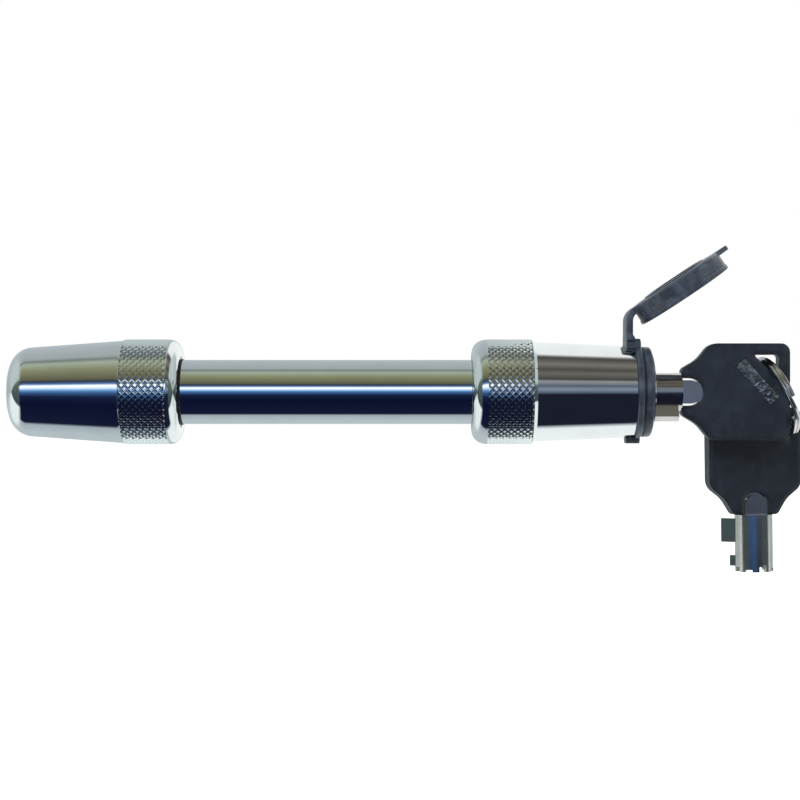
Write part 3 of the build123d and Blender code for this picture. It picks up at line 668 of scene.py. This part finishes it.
turned(lock_shape, [
    (lock_knurl_end, knurl_core),
    (lock_knurl_end + KNURL_END_BREAK, knurl_radius - KNURL_END_BREAK),
    (lock_knurl_end + KNURL_STEP, barrel_end_radius + BARREL_TAPER),
    (collar_seat, barrel_end_radius),
    (collar_seat, collar_spigot),
    (body_high.x, collar_spigot),
    (body_high.x, SHELL_RADIUS + SHELL_FIT),
    (shell_low.x + FLANGE_LENGTH, SHELL_RADIUS + SHELL_FIT),
    (shell_low.x + FLANGE_LENGTH, bore_radius),
    (body_low.x, bore_radius),
    *arc(
        (lock_knurl_start, knurl_radius - SHOULDER_DROP), (LOCK_SHOULDER, SHOULDER_DROP - SHOULDER_TRIM),
        180, LOCK_SHOULDER_TOP, SHOULDER_STEPS,
    ),
    (lock_knurl_start, knurl_radius - SHOULDER_EDGE),
    (lock_knurl_start, knurl_core),
])
soften(lock_shape, collar_seat, barrel_end_radius, SEAT_BREAK)
soften(lock_shape, body_high.x, collar_spigot, SPIGOT_BREAK)
knurl(lock_shape, lock_knurl_start, lock_knurl_end, knurl_radius)
lock_body = link_mesh("knurled_lock_body", lock_shape, HEAD_SMOOTH)
even_out(lock_body)
lock_body.data.materials.append(chrome)
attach(lock_body, "lock_head")
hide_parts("lock_body")


FLAT_ANGLE = math.radians(1)
SHARP_ANGLE = math.radians(50)
NODE_SMOOTH = 30


def smoothed(node, name, body, finish, edge=0.0):
    """A merged, smooth-shaded copy of a CAD node with its sharp edges broken."""
    shape = bmesh.new()
    shape.from_mesh(nodes[node].data)
    bmesh.ops.remove_doubles(shape, verts=shape.verts, dist=MERGE_DISTANCE / 2)
    bmesh.ops.dissolve_limit(shape, angle_limit=FLAT_ANGLE, verts=shape.verts, edges=shape.edges)
    piece = link_mesh(name, shape, NODE_SMOOTH)
    piece.data.materials.clear()
    piece.data.materials.append(finish)
    if edge:
        rounding = piece.modifiers.new("edge", "BEVEL")
        rounding.width = edge * MM
        rounding.segments = 2
        rounding.limit_method = "ANGLE"
        rounding.angle_limit = SHARP_ANGLE
        rounding.use_clamp_overlap = True
    even_out(piece)
    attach(piece, body)
    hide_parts(node)
    return piece


# ---------------------------------------------------------------- latch and lock cylinder
# Inside the lock head: a bright bush, a steel carrier with two sliding dogs, a cam disc
# that draws them in, and a seven pin tubular cylinder with a brass block and pins.
bright_steel = metal("bare_steel", (0.56, 0.55, 0.53), (0.36, 0.33, 0.30), 0.5, 0.24, 0.22, 0.25, 0.08)
cam_steel = metal("cam_steel", (0.42, 0.40, 0.37), (0.25, 0.20, 0.15), 0.6, 0.32, 0.2, 0.2, 0.1)
brass = metal("brass_parts", (0.72, 0.50, 0.20), (0.38, 0.24, 0.09), 0.6, 0.2, 0.22, 0.3, 0.06)
spring_steel = metal("spring_steel", (0.62, 0.62, 0.62), (0.4, 0.4, 0.42), 0.4, 0.18, 0.2, 0.2, 0.05)
smoothed("mouth_bush", "mouth_guide_bush", "lock_head", bright_steel, 0.15)
smoothed("cylinder_shell", "lock_cylinder_shell", "lock_head", chrome, 0.1)
smoothed("lock_spindle", "lock_spindle_post", "lock_core", chrome, 0.1)
CARRIED_OVER = {
    "dog_carrier": bright_steel,
    "upper_dog": cam_steel,
    "lower_dog": cam_steel,
    "upper_dog_peg": cam_steel,
    "lower_dog_peg": cam_steel,
    "cam_disc": cam_steel,
    "cam_screw": bright_steel,
    "head_dowel": bright_steel,
    "block_pin": bright_steel,
    "cylinder_retaining_pin": bright_steel,
    "pin_block": brass,
    "key_pins": brass,
    "driver_pins": brass,
    "pin_springs": spring_steel,
    "lock_head_o_ring": seal_rubber,
}
for node, finish in CARRIED_OVER.items():
    nodes[node].data.materials.clear()
    nodes[node].data.materials.append(finish)

# ---------------------------------------------------------------- rubber collar
# The collar is moulded in black rubber and stretched over the spigot. It has a groove
# that the cap snaps into, a lug on top for the cap's strap and a pull foot below.
RUBBER_BLACK = (0.010, 0.013, 0.020)
RUBBER_BLOOM = (0.045, 0.058, 0.078)
cap_rubber = moulding("cap_rubber", RUBBER_BLACK, RUBBER_BLOOM, 0.45, 0.30, 0.16, 0.12, 0.7)
COLLAR_FLANGE = collar_spigot + 1.85
COLLAR_GROOVE = collar_spigot + 0.75
COLLAR_FRONT = collar_spigot + 1.15
FLANGE_WIDTH = 1.5
GROOVE_WIDTH = 0.6
RUBBER_TURN_STEPS = 120
LUG_HALF = 4.6
LUG_TOP = barrel_end_radius + 1.8
LUG_BACK = 2.0
FOOT_HALF = 2.2
FOOT_DROP = 0.9
FOOT_BACK = 2.0
BARREL_CLEAR = 0.12
LUG_ROUND = 0.35
FOOT_ROUND = 0.3
SADDLE_STEPS = 6
SADDLE_SHOULDER = 0.6
SADDLE_CROWN = 0.72
SADDLE_FOLD = math.radians(25)
SEAT_MARGIN = 0.2
COLLAR_SMOOTH = 45
groove_start = collar_seat + FLANGE_WIDTH
groove_end = groove_start + GROOVE_WIDTH
collar_front = collar_seat + COLLAR_LENGTH
collar_shape = bmesh.new()
turned(collar_shape, [
    (collar_seat, collar_spigot),
    (collar_seat, COLLAR_FLANGE),
    (groove_start, COLLAR_FLANGE),
    (groove_start, COLLAR_GROOVE),
    (groove_end, COLLAR_GROOVE),
    (groove_end, COLLAR_FRONT),
    (collar_front, COLLAR_FRONT),
    (collar_front, collar_spigot),
], RUBBER_TURN_STEPS)
COLLAR_ROUNDS = [
    (collar_seat, COLLAR_FLANGE, 0.35, 4),
    (groove_start, COLLAR_FLANGE, 0.45, 4),
    (groove_end, COLLAR_FRONT, 0.12, 2),
    (collar_front, COLLAR_FRONT, 0.6, 5),
]
for x, radius, width, segments in COLLAR_ROUNDS:
    soften(collar_shape, x, radius, width, segments)


def saddle(shape, side, half, reach, start, end, seat, round_off):
    """A lug that follows the collar round: an arc-bottomed block, up or down from the axis."""
    spread = math.asin(half / reach)
    block = bmesh.new()
    angles = [spread * (2 * i / SADDLE_STEPS - 1) for i in range(SADDLE_STEPS + 1)]
    lower = [(seat * math.sin(angle), seat * math.cos(angle)) for angle in angles]
    crown = half * SADDLE_CROWN
    shoulder = reach - SADDLE_SHOULDER
    upper = [(lower[-1][0], shoulder), (crown, reach), (-crown, reach), (lower[0][0], shoulder)]
    corners = [block.verts.new((start * MM, y * MM, side * z * MM)) for y, z in lower + upper]
    face = block.faces.new(corners)
    pushed = bmesh.ops.extrude_face_region(block, geom=[face])["geom"]
    moved = [g for g in pushed if isinstance(g, bmesh.types.BMVert)]
    bmesh.ops.translate(block, verts=moved, vec=((end - start) * MM, 0, 0))
    bmesh.ops.recalc_face_normals(block, faces=block.faces)
    outer = [
        e for e in block.edges
        if e.calc_face_angle(0) > SADDLE_FOLD
        and all(math.hypot(v.co.y, v.co.z) > (seat + SEAT_MARGIN) * MM for v in e.verts)
    ]
    bmesh.ops.bevel(block, geom=outer, offset=round_off * MM, offset_type="OFFSET", segments=3, profile=0.5,
                    affect="EDGES", material=-1)
    add_to(shape, block)


lug_seat = barrel_end_radius + BARREL_CLEAR
foot_reach = COLLAR_FLANGE + FOOT_DROP
saddle(collar_shape, 1, LUG_HALF, LUG_TOP, collar_seat - LUG_BACK, groove_start, lug_seat, LUG_ROUND)
saddle(collar_shape, -1, FOOT_HALF, foot_reach, collar_seat - FOOT_BACK, groove_start, lug_seat, FOOT_ROUND)
collar = link_mesh("rubber_collar", collar_shape, COLLAR_SMOOTH)
collar.data.materials.append(cap_rubber)
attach(collar, "lock_head")
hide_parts("dust_cap_collar")

# ---------------------------------------------------------------- dust cap
# The cap is a shallow rubber cup with a beaded rim, a raised ring moulded on its
# outer face, a pointed pull tab and a tab that runs into the strap. It rests open.
CAP_GAP = 0.3
CAP_WALL = 1.2
CAP_ROOF = 1.2
CAP_HEADROOM = 1.0
CAP_OPEN = math.radians(124)
BEAD_WIDTH = 0.9
BEAD_END = 1.15
BEAD_PROUD = 0.22
RING_OUTER = 8.6
RING_TOP_OUTER = 8.4
RING_TOP_INNER = 7.5
RING_INNER = 7.3
RING_FOOT = 0.12
RING_TOP = 0.42
FACE_CROWN = 0.16
LIP_INNER = 6.2
LIP_TOP_INNER = 6.4
LIP_TOP_OUTER = 7.2
LIP_OUTER = 7.4
LIP_HEIGHT = 0.5
SNAP_START = 0.35
SNAP_TOP = 0.7
SNAP_END = 1.0
SNAP_PROUD = 0.2
RIM_ROUND = 0.35
FACE_ROUND = 0.85
CAP_SMOOTH = 40
PULL_HALF = 3.4
PULL_LENGTH = 3.2
HINGE_HALF = 4.0
HINGE_PROUD = 0.6
HINGE_FLARE = 0.6
HINGE_ROOT = 1.5
PULL_ROUND = 0.9
TAB_EDGE = 0.25
cap_inner = COLLAR_FRONT + CAP_GAP
cap_outer = cap_inner + CAP_WALL
cap_rim = groove_start + CAP_GAP
cap_back = body_high.x + CAP_HEADROOM
cap_face = cap_back + CAP_ROOF
cap_wall_radius = cap_outer - BEAD_PROUD
hinge_joint = next(j for j in frame["joints"] if j["name"] == "cap_hinge")
pivot = Vector(hinge_joint["pos_m"])
cap_shape = bmesh.new()
turned(cap_shape, [
    (cap_rim, cap_inner),
    (cap_rim, cap_outer),
    (cap_rim + BEAD_WIDTH, cap_outer),
    (cap_rim + BEAD_END, cap_wall_radius),
    (cap_face, cap_wall_radius),
    (cap_face + RING_FOOT, RING_OUTER),
    (cap_face + RING_TOP, RING_TOP_OUTER),
    (cap_face + RING_TOP, RING_TOP_INNER),
    (cap_face + RING_FOOT, RING_INNER),
    (cap_face + FACE_CROWN, 0),
    (cap_back, 0),
    (cap_back, LIP_INNER),
    (cap_back - LIP_HEIGHT, LIP_TOP_INNER),
    (cap_back - LIP_HEIGHT, LIP_TOP_OUTER),
    (cap_back, LIP_OUTER),
    (cap_back, cap_inner - LIP_HEIGHT),
    (cap_back - LIP_HEIGHT, cap_inner),
    (cap_rim + SNAP_END, cap_inner),
    (cap_rim + SNAP_TOP, cap_inner - SNAP_PROUD),
    (cap_rim + SNAP_START, cap_inner - SNAP_PROUD),
], RUBBER_TURN_STEPS)
soften(cap_shape, cap_rim, cap_outer, RIM_ROUND, 4)
soften(cap_shape, cap_face, cap_wall_radius, FACE_ROUND, 6)


SQUARE_EDGE = math.radians(60)


def flat_tab(shape, outline, start, end, rounds, edge):
    """A flat tab on the cap, from (y, z) points with some corners rounded, thickened along X."""
    tab = bmesh.new()
    corners = [tab.verts.new((start * MM, y * MM, z * MM)) for y, z in outline]
    for a, b in zip(corners, corners[1:] + corners[:1]):
        tab.edges.new((a, b))
    for index, radius in rounds:
        bmesh.ops.bevel(tab, geom=[corners[index]], offset=radius * MM, offset_type="OFFSET", segments=5,
                        profile=0.5, affect="VERTICES", material=-1)
    face = bmesh.ops.contextual_create(tab, geom=tab.edges[:])["faces"]
    pushed = bmesh.ops.extrude_face_region(tab, geom=face)["geom"]
    moved = [g for g in pushed if isinstance(g, bmesh.types.BMVert)]
    bmesh.ops.translate(tab, verts=moved, vec=((end - start) * MM, 0, 0))
    bmesh.ops.recalc_face_normals(tab, faces=tab.faces)
    sharp = [e for e in tab.edges if e.calc_face_angle(0) > SQUARE_EDGE]
    bmesh.ops.bevel(tab, geom=sharp, offset=edge * MM, offset_type="OFFSET", segments=3, profile=0.5,
                    affect="EDGES", material=-1)
    add_to(shape, tab)


pull_end = cap_outer + PULL_LENGTH
tab_reach = cap_outer + HINGE_PROUD
pull_tab = [(-PULL_HALF, -cap_inner), (0, -pull_end), (PULL_HALF, -cap_inner)]
flat_tab(cap_shape, pull_tab, cap_back, cap_face, [(1, PULL_ROUND)], TAB_EDGE)
root_half = HINGE_HALF + HINGE_FLARE
root_reach = cap_inner - HINGE_ROOT
hinge_tab = [
    (-root_half, root_reach), (root_half, root_reach), (HINGE_HALF, tab_reach), (-HINGE_HALF, tab_reach),
]
flat_tab(cap_shape, hinge_tab, cap_back, cap_face, [], TAB_EDGE)
bmesh.ops.rotate(
    cap_shape, verts=cap_shape.verts, cent=pivot, matrix=Matrix.Rotation(-CAP_OPEN, 3, "Y")
)
cap = link_mesh("rubber_dust_cap", cap_shape, CAP_SMOOTH)
cap.data.materials.append(cap_rubber)
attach(cap, "dust_cap")
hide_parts("dust_cap")

# ---------------------------------------------------------------- cap strap
# The strap is moulded in one with the collar and the cap. It stands up from the lug
# and bends over to the cap's tab.
STRAP_THICKNESS = 1.6
STRAP_STEPS = 6
STRAP_ROOT_HALF = HINGE_HALF + 0.3
STRAP_ROOT_SINK = 0.7
STRAP_ROOT_DEPTH = STRAP_THICKNESS + 0.5
ROOT_STEP = 1
BEND_RADIUS = 2.2
BEND_STEPS = 12
TAIL_STEPS = 4
TAIL_STEP = 0.55
STRAP_ROUND = 0.3
STRAP_SMOOTH = 50
strap_back = collar_seat - LUG_BACK
bend = CAP_OPEN - math.pi / 2
tab_corner = Vector((cap_face * MM, 0, tab_reach * MM)) - pivot
tab_corner.rotate(Matrix.Rotation(-CAP_OPEN, 3, "Y"))
tab_corner += pivot
outer_bend = BEND_RADIUS + STRAP_THICKNESS
lean_over = math.pi / 2 - bend
bend_centre_x = strap_back + outer_bend
tangent_x = bend_centre_x - outer_bend * math.cos(lean_over)
tangent_z = outer_bend * math.sin(lean_over)
slope = math.tan(bend)
meet_z = tab_corner.z / MM + (tangent_x - tab_corner.x / MM) * slope
bend_z = meet_z - tangent_z
strap_shape = bmesh.new()
root_z = LUG_TOP - STRAP_ROOT_SINK
root_front = strap_back + STRAP_ROOT_DEPTH
root_corners = [
    (strap_back, -STRAP_ROOT_HALF), (strap_back, STRAP_ROOT_HALF),
    (root_front, STRAP_ROOT_HALF), (root_front, -STRAP_ROOT_HALF),
]
root = [strap_shape.verts.new((x * MM, y * MM, root_z * MM)) for x, y in root_corners]
end_face = strap_shape.faces.new(root)
rise = (bend_z - root_z) / STRAP_STEPS
for step in range(STRAP_STEPS):
    grown = bmesh.ops.extrude_face_region(strap_shape, geom=[end_face])["geom"]
    end_face = next(g for g in grown if isinstance(g, bmesh.types.BMFace))
    bmesh.ops.translate(strap_shape, verts=end_face.verts, vec=(0, 0, rise * MM))
    if step == ROOT_STEP:
        for vertex in end_face.verts:
            vertex.co.x = min(vertex.co.x, (strap_back + STRAP_THICKNESS) * MM)
            vertex.co.y = max(-HINGE_HALF * MM, min(HINGE_HALF * MM, vertex.co.y))
spun = bmesh.ops.spin(
    strap_shape, geom=[end_face], cent=Vector((bend_centre_x, 0, bend_z)) * MM, axis=(0, 1, 0),
    angle=lean_over, steps=BEND_STEPS, use_merge=False,
)
end_face = next(g for g in spun["geom_last"] if isinstance(g, bmesh.types.BMFace))
along = Vector((math.cos(bend), 0, math.sin(bend)))
for step in range(TAIL_STEPS):
    grown = bmesh.ops.extrude_face_region(strap_shape, geom=[end_face])["geom"]
    end_face = next(g for g in grown if isinstance(g, bmesh.types.BMFace))
    bmesh.ops.translate(strap_shape, verts=end_face.verts, vec=along * TAIL_STEP * MM)
bmesh.ops.remove_doubles(strap_shape, verts=strap_shape.verts, dist=MERGE_DISTANCE)
inside = [f for f in strap_shape.faces if all(len(e.link_faces) > 2 for e in f.edges)]
bmesh.ops.delete(strap_shape, geom=inside, context="FACES")
bmesh.ops.recalc_face_normals(strap_shape, faces=strap_shape.faces)
long_edges = [e for e in strap_shape.edges if e.is_manifold and e.calc_face_angle(0) > SQUARE_EDGE]
bmesh.ops.bevel(strap_shape, geom=long_edges, offset=STRAP_ROUND * MM, offset_type="OFFSET", segments=3,
                profile=0.5, affect="EDGES", material=-1)
strap = link_mesh("rubber_cap_strap", strap_shape, STRAP_SMOOTH)
strap.data.materials.append(cap_rubber)
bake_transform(strap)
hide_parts("dust_cap_strap")

# ---------------------------------------------------------------- keys
# Each key is a nickel plated tubular steel shank in a black nylon bow. The bow is
# moulded over the shank's tang, with a sloped border, an arched window at the tube,
# a three-cornered ring hole and a sunk code plate, which is blank here.
NYLON_BLACK = (0.005, 0.0065, 0.010)
NYLON_DUST = (0.012, 0.017, 0.026)
KEY_NICKEL = (0.70, 0.68, 0.66)
KEY_HANDLED = (0.46, 0.41, 0.36)
key_nylon = moulding("key_plastic", NYLON_BLACK, NYLON_DUST, 0.4, 0.40, 0.14, 0.2, 0.4)
key_steel = metal("key_steel", KEY_NICKEL, KEY_HANDLED, 0.4, 0.16, 0.12, 0.4, 0.03)
KEY_REACH = 14.3
BOW_LENGTH = 26.8
BOW_HALF = 12.0
BOW_THICKNESS = 4.7
BOW_FRONT_HALF = 5.7
BOW_WAIST = (3.9, 8.0)
BOW_SHOULDER = 7.1
ARCH_HALF = 3.4
ARCH_STRAIGHT = 2.2
HOLE_SIDE = 6.2
HOLE_RIM = 2.8
BORDER_WIDTH = 1.0
BORDER_DROP = 0.45
FRONT_CORNER = 0.7
WAIST_CORNER = 1.2
SHOULDER_CORNER = 1.6
REAR_CORNER = 2.2
HOLE_CORNER = 0.8
BOW_EDGE = 0.22
BOW_FOLD = math.radians(20)
BOW_SMOOTH = 25
ARCH_ANGLE_STEP = 15
FACES_OUT = 0.9
SHANK_EDGE = 0.12
PLATE_LENGTH = 12.7
PLATE_WIDTH = 2.9
PLATE_TILT = math.radians(-47.8)
PLATE_BACK = 8.1
PLATE_RISE = 2.55
SPARE_LEAN = math.radians(0.71)
SPARE_TWIST = math.radians(8.19)
SPARE_HANG = Vector((4.501, 8.722, -15.910))
bow_end = KEY_REACH + BOW_LENGTH
hole_x = bow_end - HOLE_RIM
hole_z = BOW_HALF - HOLE_RIM
key_tip = box_mm("key_a_shank")[0].x
spare_up = Vector((-math.sin(SPARE_LEAN), 0, math.cos(SPARE_LEAN)))
spare_across = Vector((
    math.cos(SPARE_LEAN) * math.cos(SPARE_TWIST),
    math.sin(SPARE_TWIST),
    math.sin(SPARE_LEAN) * math.cos(SPARE_TWIST),
)).normalized()
hole_along = hole_x - HOLE_SIDE / 3
hole_across = hole_z - HOLE_SIDE / 3
first_hole = Vector((key_tip + hole_along, 0, hole_across))
spare_tip = first_hole + SPARE_HANG - spare_up * hole_along - spare_across * hole_across
spare_front = spare_across.cross(spare_up)
spare_axes = Matrix((spare_up, spare_front, spare_across)).transposed().to_4x4()
KEY_PLACES = {
    "key_a": Matrix.Translation(Vector((key_tip, 0, 0)) * MM),
    "key_b": Matrix.Translation(spare_tip * MM) @ spare_axes,
}


def loop_of(shape, points, rounds, level):
    """A closed wire of (x, z) points at one level of y, with some corners rounded."""
    corners = [shape.verts.new((x * MM, level * MM, z * MM)) for x, z in points]
    for a, b in zip(corners, corners[1:] + corners[:1]):
        shape.edges.new((a, b))
    for index, radius, segments in rounds:
        bmesh.ops.bevel(shape, geom=[corners[index]], offset=radius * MM, offset_type="OFFSET",
                        segments=segments, profile=0.5, affect="VERTICES", material=-1)


for key_name, place in KEY_PLACES.items():
    bow = bmesh.new()
    level = -(BOW_THICKNESS / 2 - BORDER_DROP)
    arch_steps = round(180 / ARCH_ANGLE_STEP)
    arch = arc((KEY_REACH + ARCH_STRAIGHT, 0), (ARCH_HALF, ARCH_HALF), 90, -90, arch_steps)
    outline = [
        (KEY_REACH, -BOW_FRONT_HALF),
        (KEY_REACH + BOW_WAIST[0], -BOW_WAIST[1]),
        (KEY_REACH + BOW_SHOULDER, -BOW_HALF),
        (bow_end, -BOW_HALF),
        (bow_end, BOW_HALF),
        (KEY_REACH + BOW_SHOULDER, BOW_HALF),
        (KEY_REACH + BOW_WAIST[0], BOW_WAIST[1]),
        (KEY_REACH, BOW_FRONT_HALF),
        (KEY_REACH, ARCH_HALF),
        *arch,
        (KEY_REACH, -ARCH_HALF),
    ]
    corner_rounds = [
        (0, FRONT_CORNER, 3), (1, WAIST_CORNER, 3), (2, SHOULDER_CORNER, 4), (3, REAR_CORNER, 6),
        (4, REAR_CORNER, 6), (5, SHOULDER_CORNER, 4), (6, WAIST_CORNER, 3), (7, FRONT_CORNER, 3),
    ]
    loop_of(bow, outline, corner_rounds, level)
    ring_hole = [(hole_x, hole_z), (hole_x - HOLE_SIDE, hole_z), (hole_x, hole_z - HOLE_SIDE)]
    loop_of(bow, ring_hole, [(i, HOLE_CORNER, 4) for i in range(3)], level)
    bmesh.ops.triangle_fill(bow, use_beauty=True, use_dissolve=False, edges=bow.edges[:])
    back = bmesh.ops.extrude_face_region(bow, geom=bow.faces[:])["geom"]
    back_verts = [g for g in back if isinstance(g, bmesh.types.BMVert)]
    bmesh.ops.translate(bow, verts=back_verts, vec=(0, -2 * level * MM, 0))
    bmesh.ops.recalc_face_normals(bow, faces=bow.faces)
    front = [f for f in bow.faces if f.normal.y < -FACES_OUT]
    for region in (front, [f for f in bow.faces if f.normal.y > FACES_OUT]):
        bmesh.ops.inset_region(bow, faces=region, thickness=BORDER_WIDTH * MM, depth=BORDER_DROP * MM,
                               use_boundary=True, use_even_offset=True)
    bmesh.ops.transform(bow, verts=bow.verts, matrix=place)
    piece = link_mesh(key_name + "_nylon_bow", bow, BOW_SMOOTH)
    rounding = piece.modifiers.new("edge", "BEVEL")
    rounding.width = BOW_EDGE * MM
    rounding.segments = 2
    rounding.limit_method = "ANGLE"
    rounding.angle_limit = BOW_FOLD
    rounding.use_clamp_overlap = True
    piece.data.materials.append(key_nylon)
    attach(piece, key_name)
    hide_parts(key_name + "_bow")
    smoothed(key_name + "_shank", key_name + "_tube_shank", key_name, key_steel, SHANK_EDGE)

# ---------------------------------------------------------------- code plates
# The code plate is a strip of aluminium foil pressed into the bow, with a crossed
# hatch rolled into it. It carries no code. Its colour holds painted glints: noise
# patches of bright and dark foil that stand in for light catching the hatch.
foil, tree, surface = finish_of("badge_foil", 1.0)
in_mm = millimetres(tree)
HATCH_DEPTH = 0.25 * MM
FOIL_DARK = (0.22, 0.22, 0.23)
FOIL_PAINTED_GLINT = (0.55, 0.56, 0.57)
hatch = joined(tree, "ShaderNodeTexVoronoi", {"Vector": in_mm, "Scale": 1.5}).outputs["Distance"]
painted_glint = joined(tree, "ShaderNodeTexNoise", {"Vector": in_mm, "Scale": 1.1, "Detail": 2.0}).outputs["Fac"]
# painted glint: the foil's colour runs from dark to bright in noise patches, with smoother gloss where it is
# bright
shade = ramp(tree, painted_glint, [(0.35, FOIL_DARK), (0.65, FOIL_PAINTED_GLINT)])
tree.links.new(shade, surface.inputs["Base Color"])
tree.links.new(ramp(tree, painted_glint, [(0.3, 0.5), (0.7, 0.28)]), surface.inputs["Roughness"])
bump = joined(tree, "ShaderNodeBump", {"Strength": 0.8, "Distance": HATCH_DEPTH, "Height": hatch})
tree.links.new(bump.outputs[0], surface.inputs["Normal"])
PLATE_PROUD = 0.1
PLATE_DEPTH = 0.45
PLATE_CORNER = 0.35
PLATE_EDGE = 0.08
plate_front = -BOW_THICKNESS / 2 - PLATE_PROUD
plate_centre = Vector((bow_end - PLATE_BACK, 0, PLATE_RISE))
plate_turn = Matrix.Rotation(-PLATE_TILT, 3, "Y")
plate_outline = []
for side_x, side_z in ((-1, -1), (1, -1), (1, 1), (-1, 1)):
    corner = plate_centre + plate_turn @ Vector((side_x * PLATE_LENGTH / 2, 0, side_z * PLATE_WIDTH / 2))
    plate_outline.append((corner.x, corner.z))
for key_name, place in KEY_PLACES.items():
    plate = bmesh.new()
    loop_of(plate, plate_outline, [(i, PLATE_CORNER, 3) for i in range(4)], plate_front)
    face = bmesh.ops.contextual_create(plate, geom=plate.edges[:])["faces"]
    pushed = bmesh.ops.extrude_face_region(plate, geom=face)["geom"]
    moved = [g for g in pushed if isinstance(g, bmesh.types.BMVert)]
    bmesh.ops.translate(plate, verts=moved, vec=(0, PLATE_DEPTH * MM, 0))
    bmesh.ops.recalc_face_normals(plate, faces=plate.faces)
    rims = [e for e in plate.edges if all(v.co.y < -BOW_THICKNESS / 2 * MM for v in e.verts)]
    bmesh.ops.bevel(plate, geom=rims, offset=PLATE_EDGE * MM, offset_type="OFFSET", segments=2, profile=0.5,
                    affect="EDGES", material=-1)
    bmesh.ops.transform(plate, verts=plate.verts, matrix=place)
    piece = link_mesh(key_name + "_code_plate", plate)
    piece.data.materials.append(foil)
    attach(piece, key_name)
    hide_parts(key_name + "_badge")

# ---------------------------------------------------------------- split ring
# The ring is two close turns of flattened spring wire, nickel plated. Each end lies
# against the step where the wire crosses from one turn to the other.
RING_NICKEL = (0.74, 0.72, 0.71)
RING_WORN = (0.50, 0.42, 0.38)
ring_steel = metal("ring_steel", RING_NICKEL, RING_WORN, 0.4, 0.12, 0.15, 0.3, 0.04)
RING_RADIUS = 9.857
WIRE_HALF = 0.47
WIRE_DEPTH = 0.75
RING_OFFSET = Vector((2.267, 4.5, -8.342))
RING_NORMAL = Vector((-0.9012, -0.1935, -0.3878))
RING_STEPS = 120
CROSSING = math.radians(34)
WIRE_ROUND = 0.25
RING_SMOOTH = 50
ring_shape = bmesh.new()
bmesh.ops.create_circle(ring_shape, cap_ends=True, radius=WIRE_HALF * MM, segments=4)
eighth_turn = Matrix.Rotation(math.pi / 4, 3, "Z")
on_end = Matrix.Rotation(math.pi / 2, 3, "X")
wire_stretch = (WIRE_DEPTH / WIRE_HALF * math.sqrt(2), math.sqrt(2), 1)
bmesh.ops.rotate(ring_shape, verts=ring_shape.verts, cent=(0, 0, 0), matrix=eighth_turn)
bmesh.ops.scale(ring_shape, verts=ring_shape.verts, vec=wire_stretch)
bmesh.ops.bevel(ring_shape, geom=ring_shape.verts[:], offset=WIRE_ROUND * MM, offset_type="OFFSET",
                segments=3, profile=0.5, affect="VERTICES", material=-1)
bmesh.ops.rotate(ring_shape, verts=ring_shape.verts, cent=(0, 0, 0), matrix=on_end)
bmesh.ops.translate(ring_shape, verts=ring_shape.verts, vec=Vector((RING_RADIUS, 0, -WIRE_HALF)) * MM)
last = ring_shape.faces[:]
one_turn = (2 * math.pi - CROSSING, 0)
for sweep, climb in (one_turn, (CROSSING, 2 * WIRE_HALF * MM), one_turn):
    steps = round(RING_STEPS * sweep / (2 * math.pi))
    spun = bmesh.ops.spin(
        ring_shape, geom=last, cent=(0, 0, 0), axis=(0, 0, 1), dvec=(0, 0, climb / steps), angle=sweep,
        steps=steps, use_merge=False,
    )
    last = [g for g in spun["geom_last"] if isinstance(g, bmesh.types.BMFace)]
bmesh.ops.remove_doubles(ring_shape, verts=ring_shape.verts, dist=MERGE_DISTANCE / 2)
inside = [f for f in ring_shape.faces if all(len(e.link_faces) > 2 for e in f.edges)]
bmesh.ops.delete(ring_shape, geom=inside, context="FACES")
bmesh.ops.recalc_face_normals(ring_shape, faces=ring_shape.faces)
ring_turn = RING_NORMAL.to_track_quat("Z", "Y").to_matrix().to_4x4()
ring_place = Matrix.Translation((first_hole + RING_OFFSET) * MM) @ ring_turn
bmesh.ops.transform(ring_shape, verts=ring_shape.verts, matrix=ring_place)
ring = link_mesh("split_ring", ring_shape, RING_SMOOTH)
ring.data.materials.append(ring_steel)
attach(ring, "key_ring")
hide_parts("key_ring")
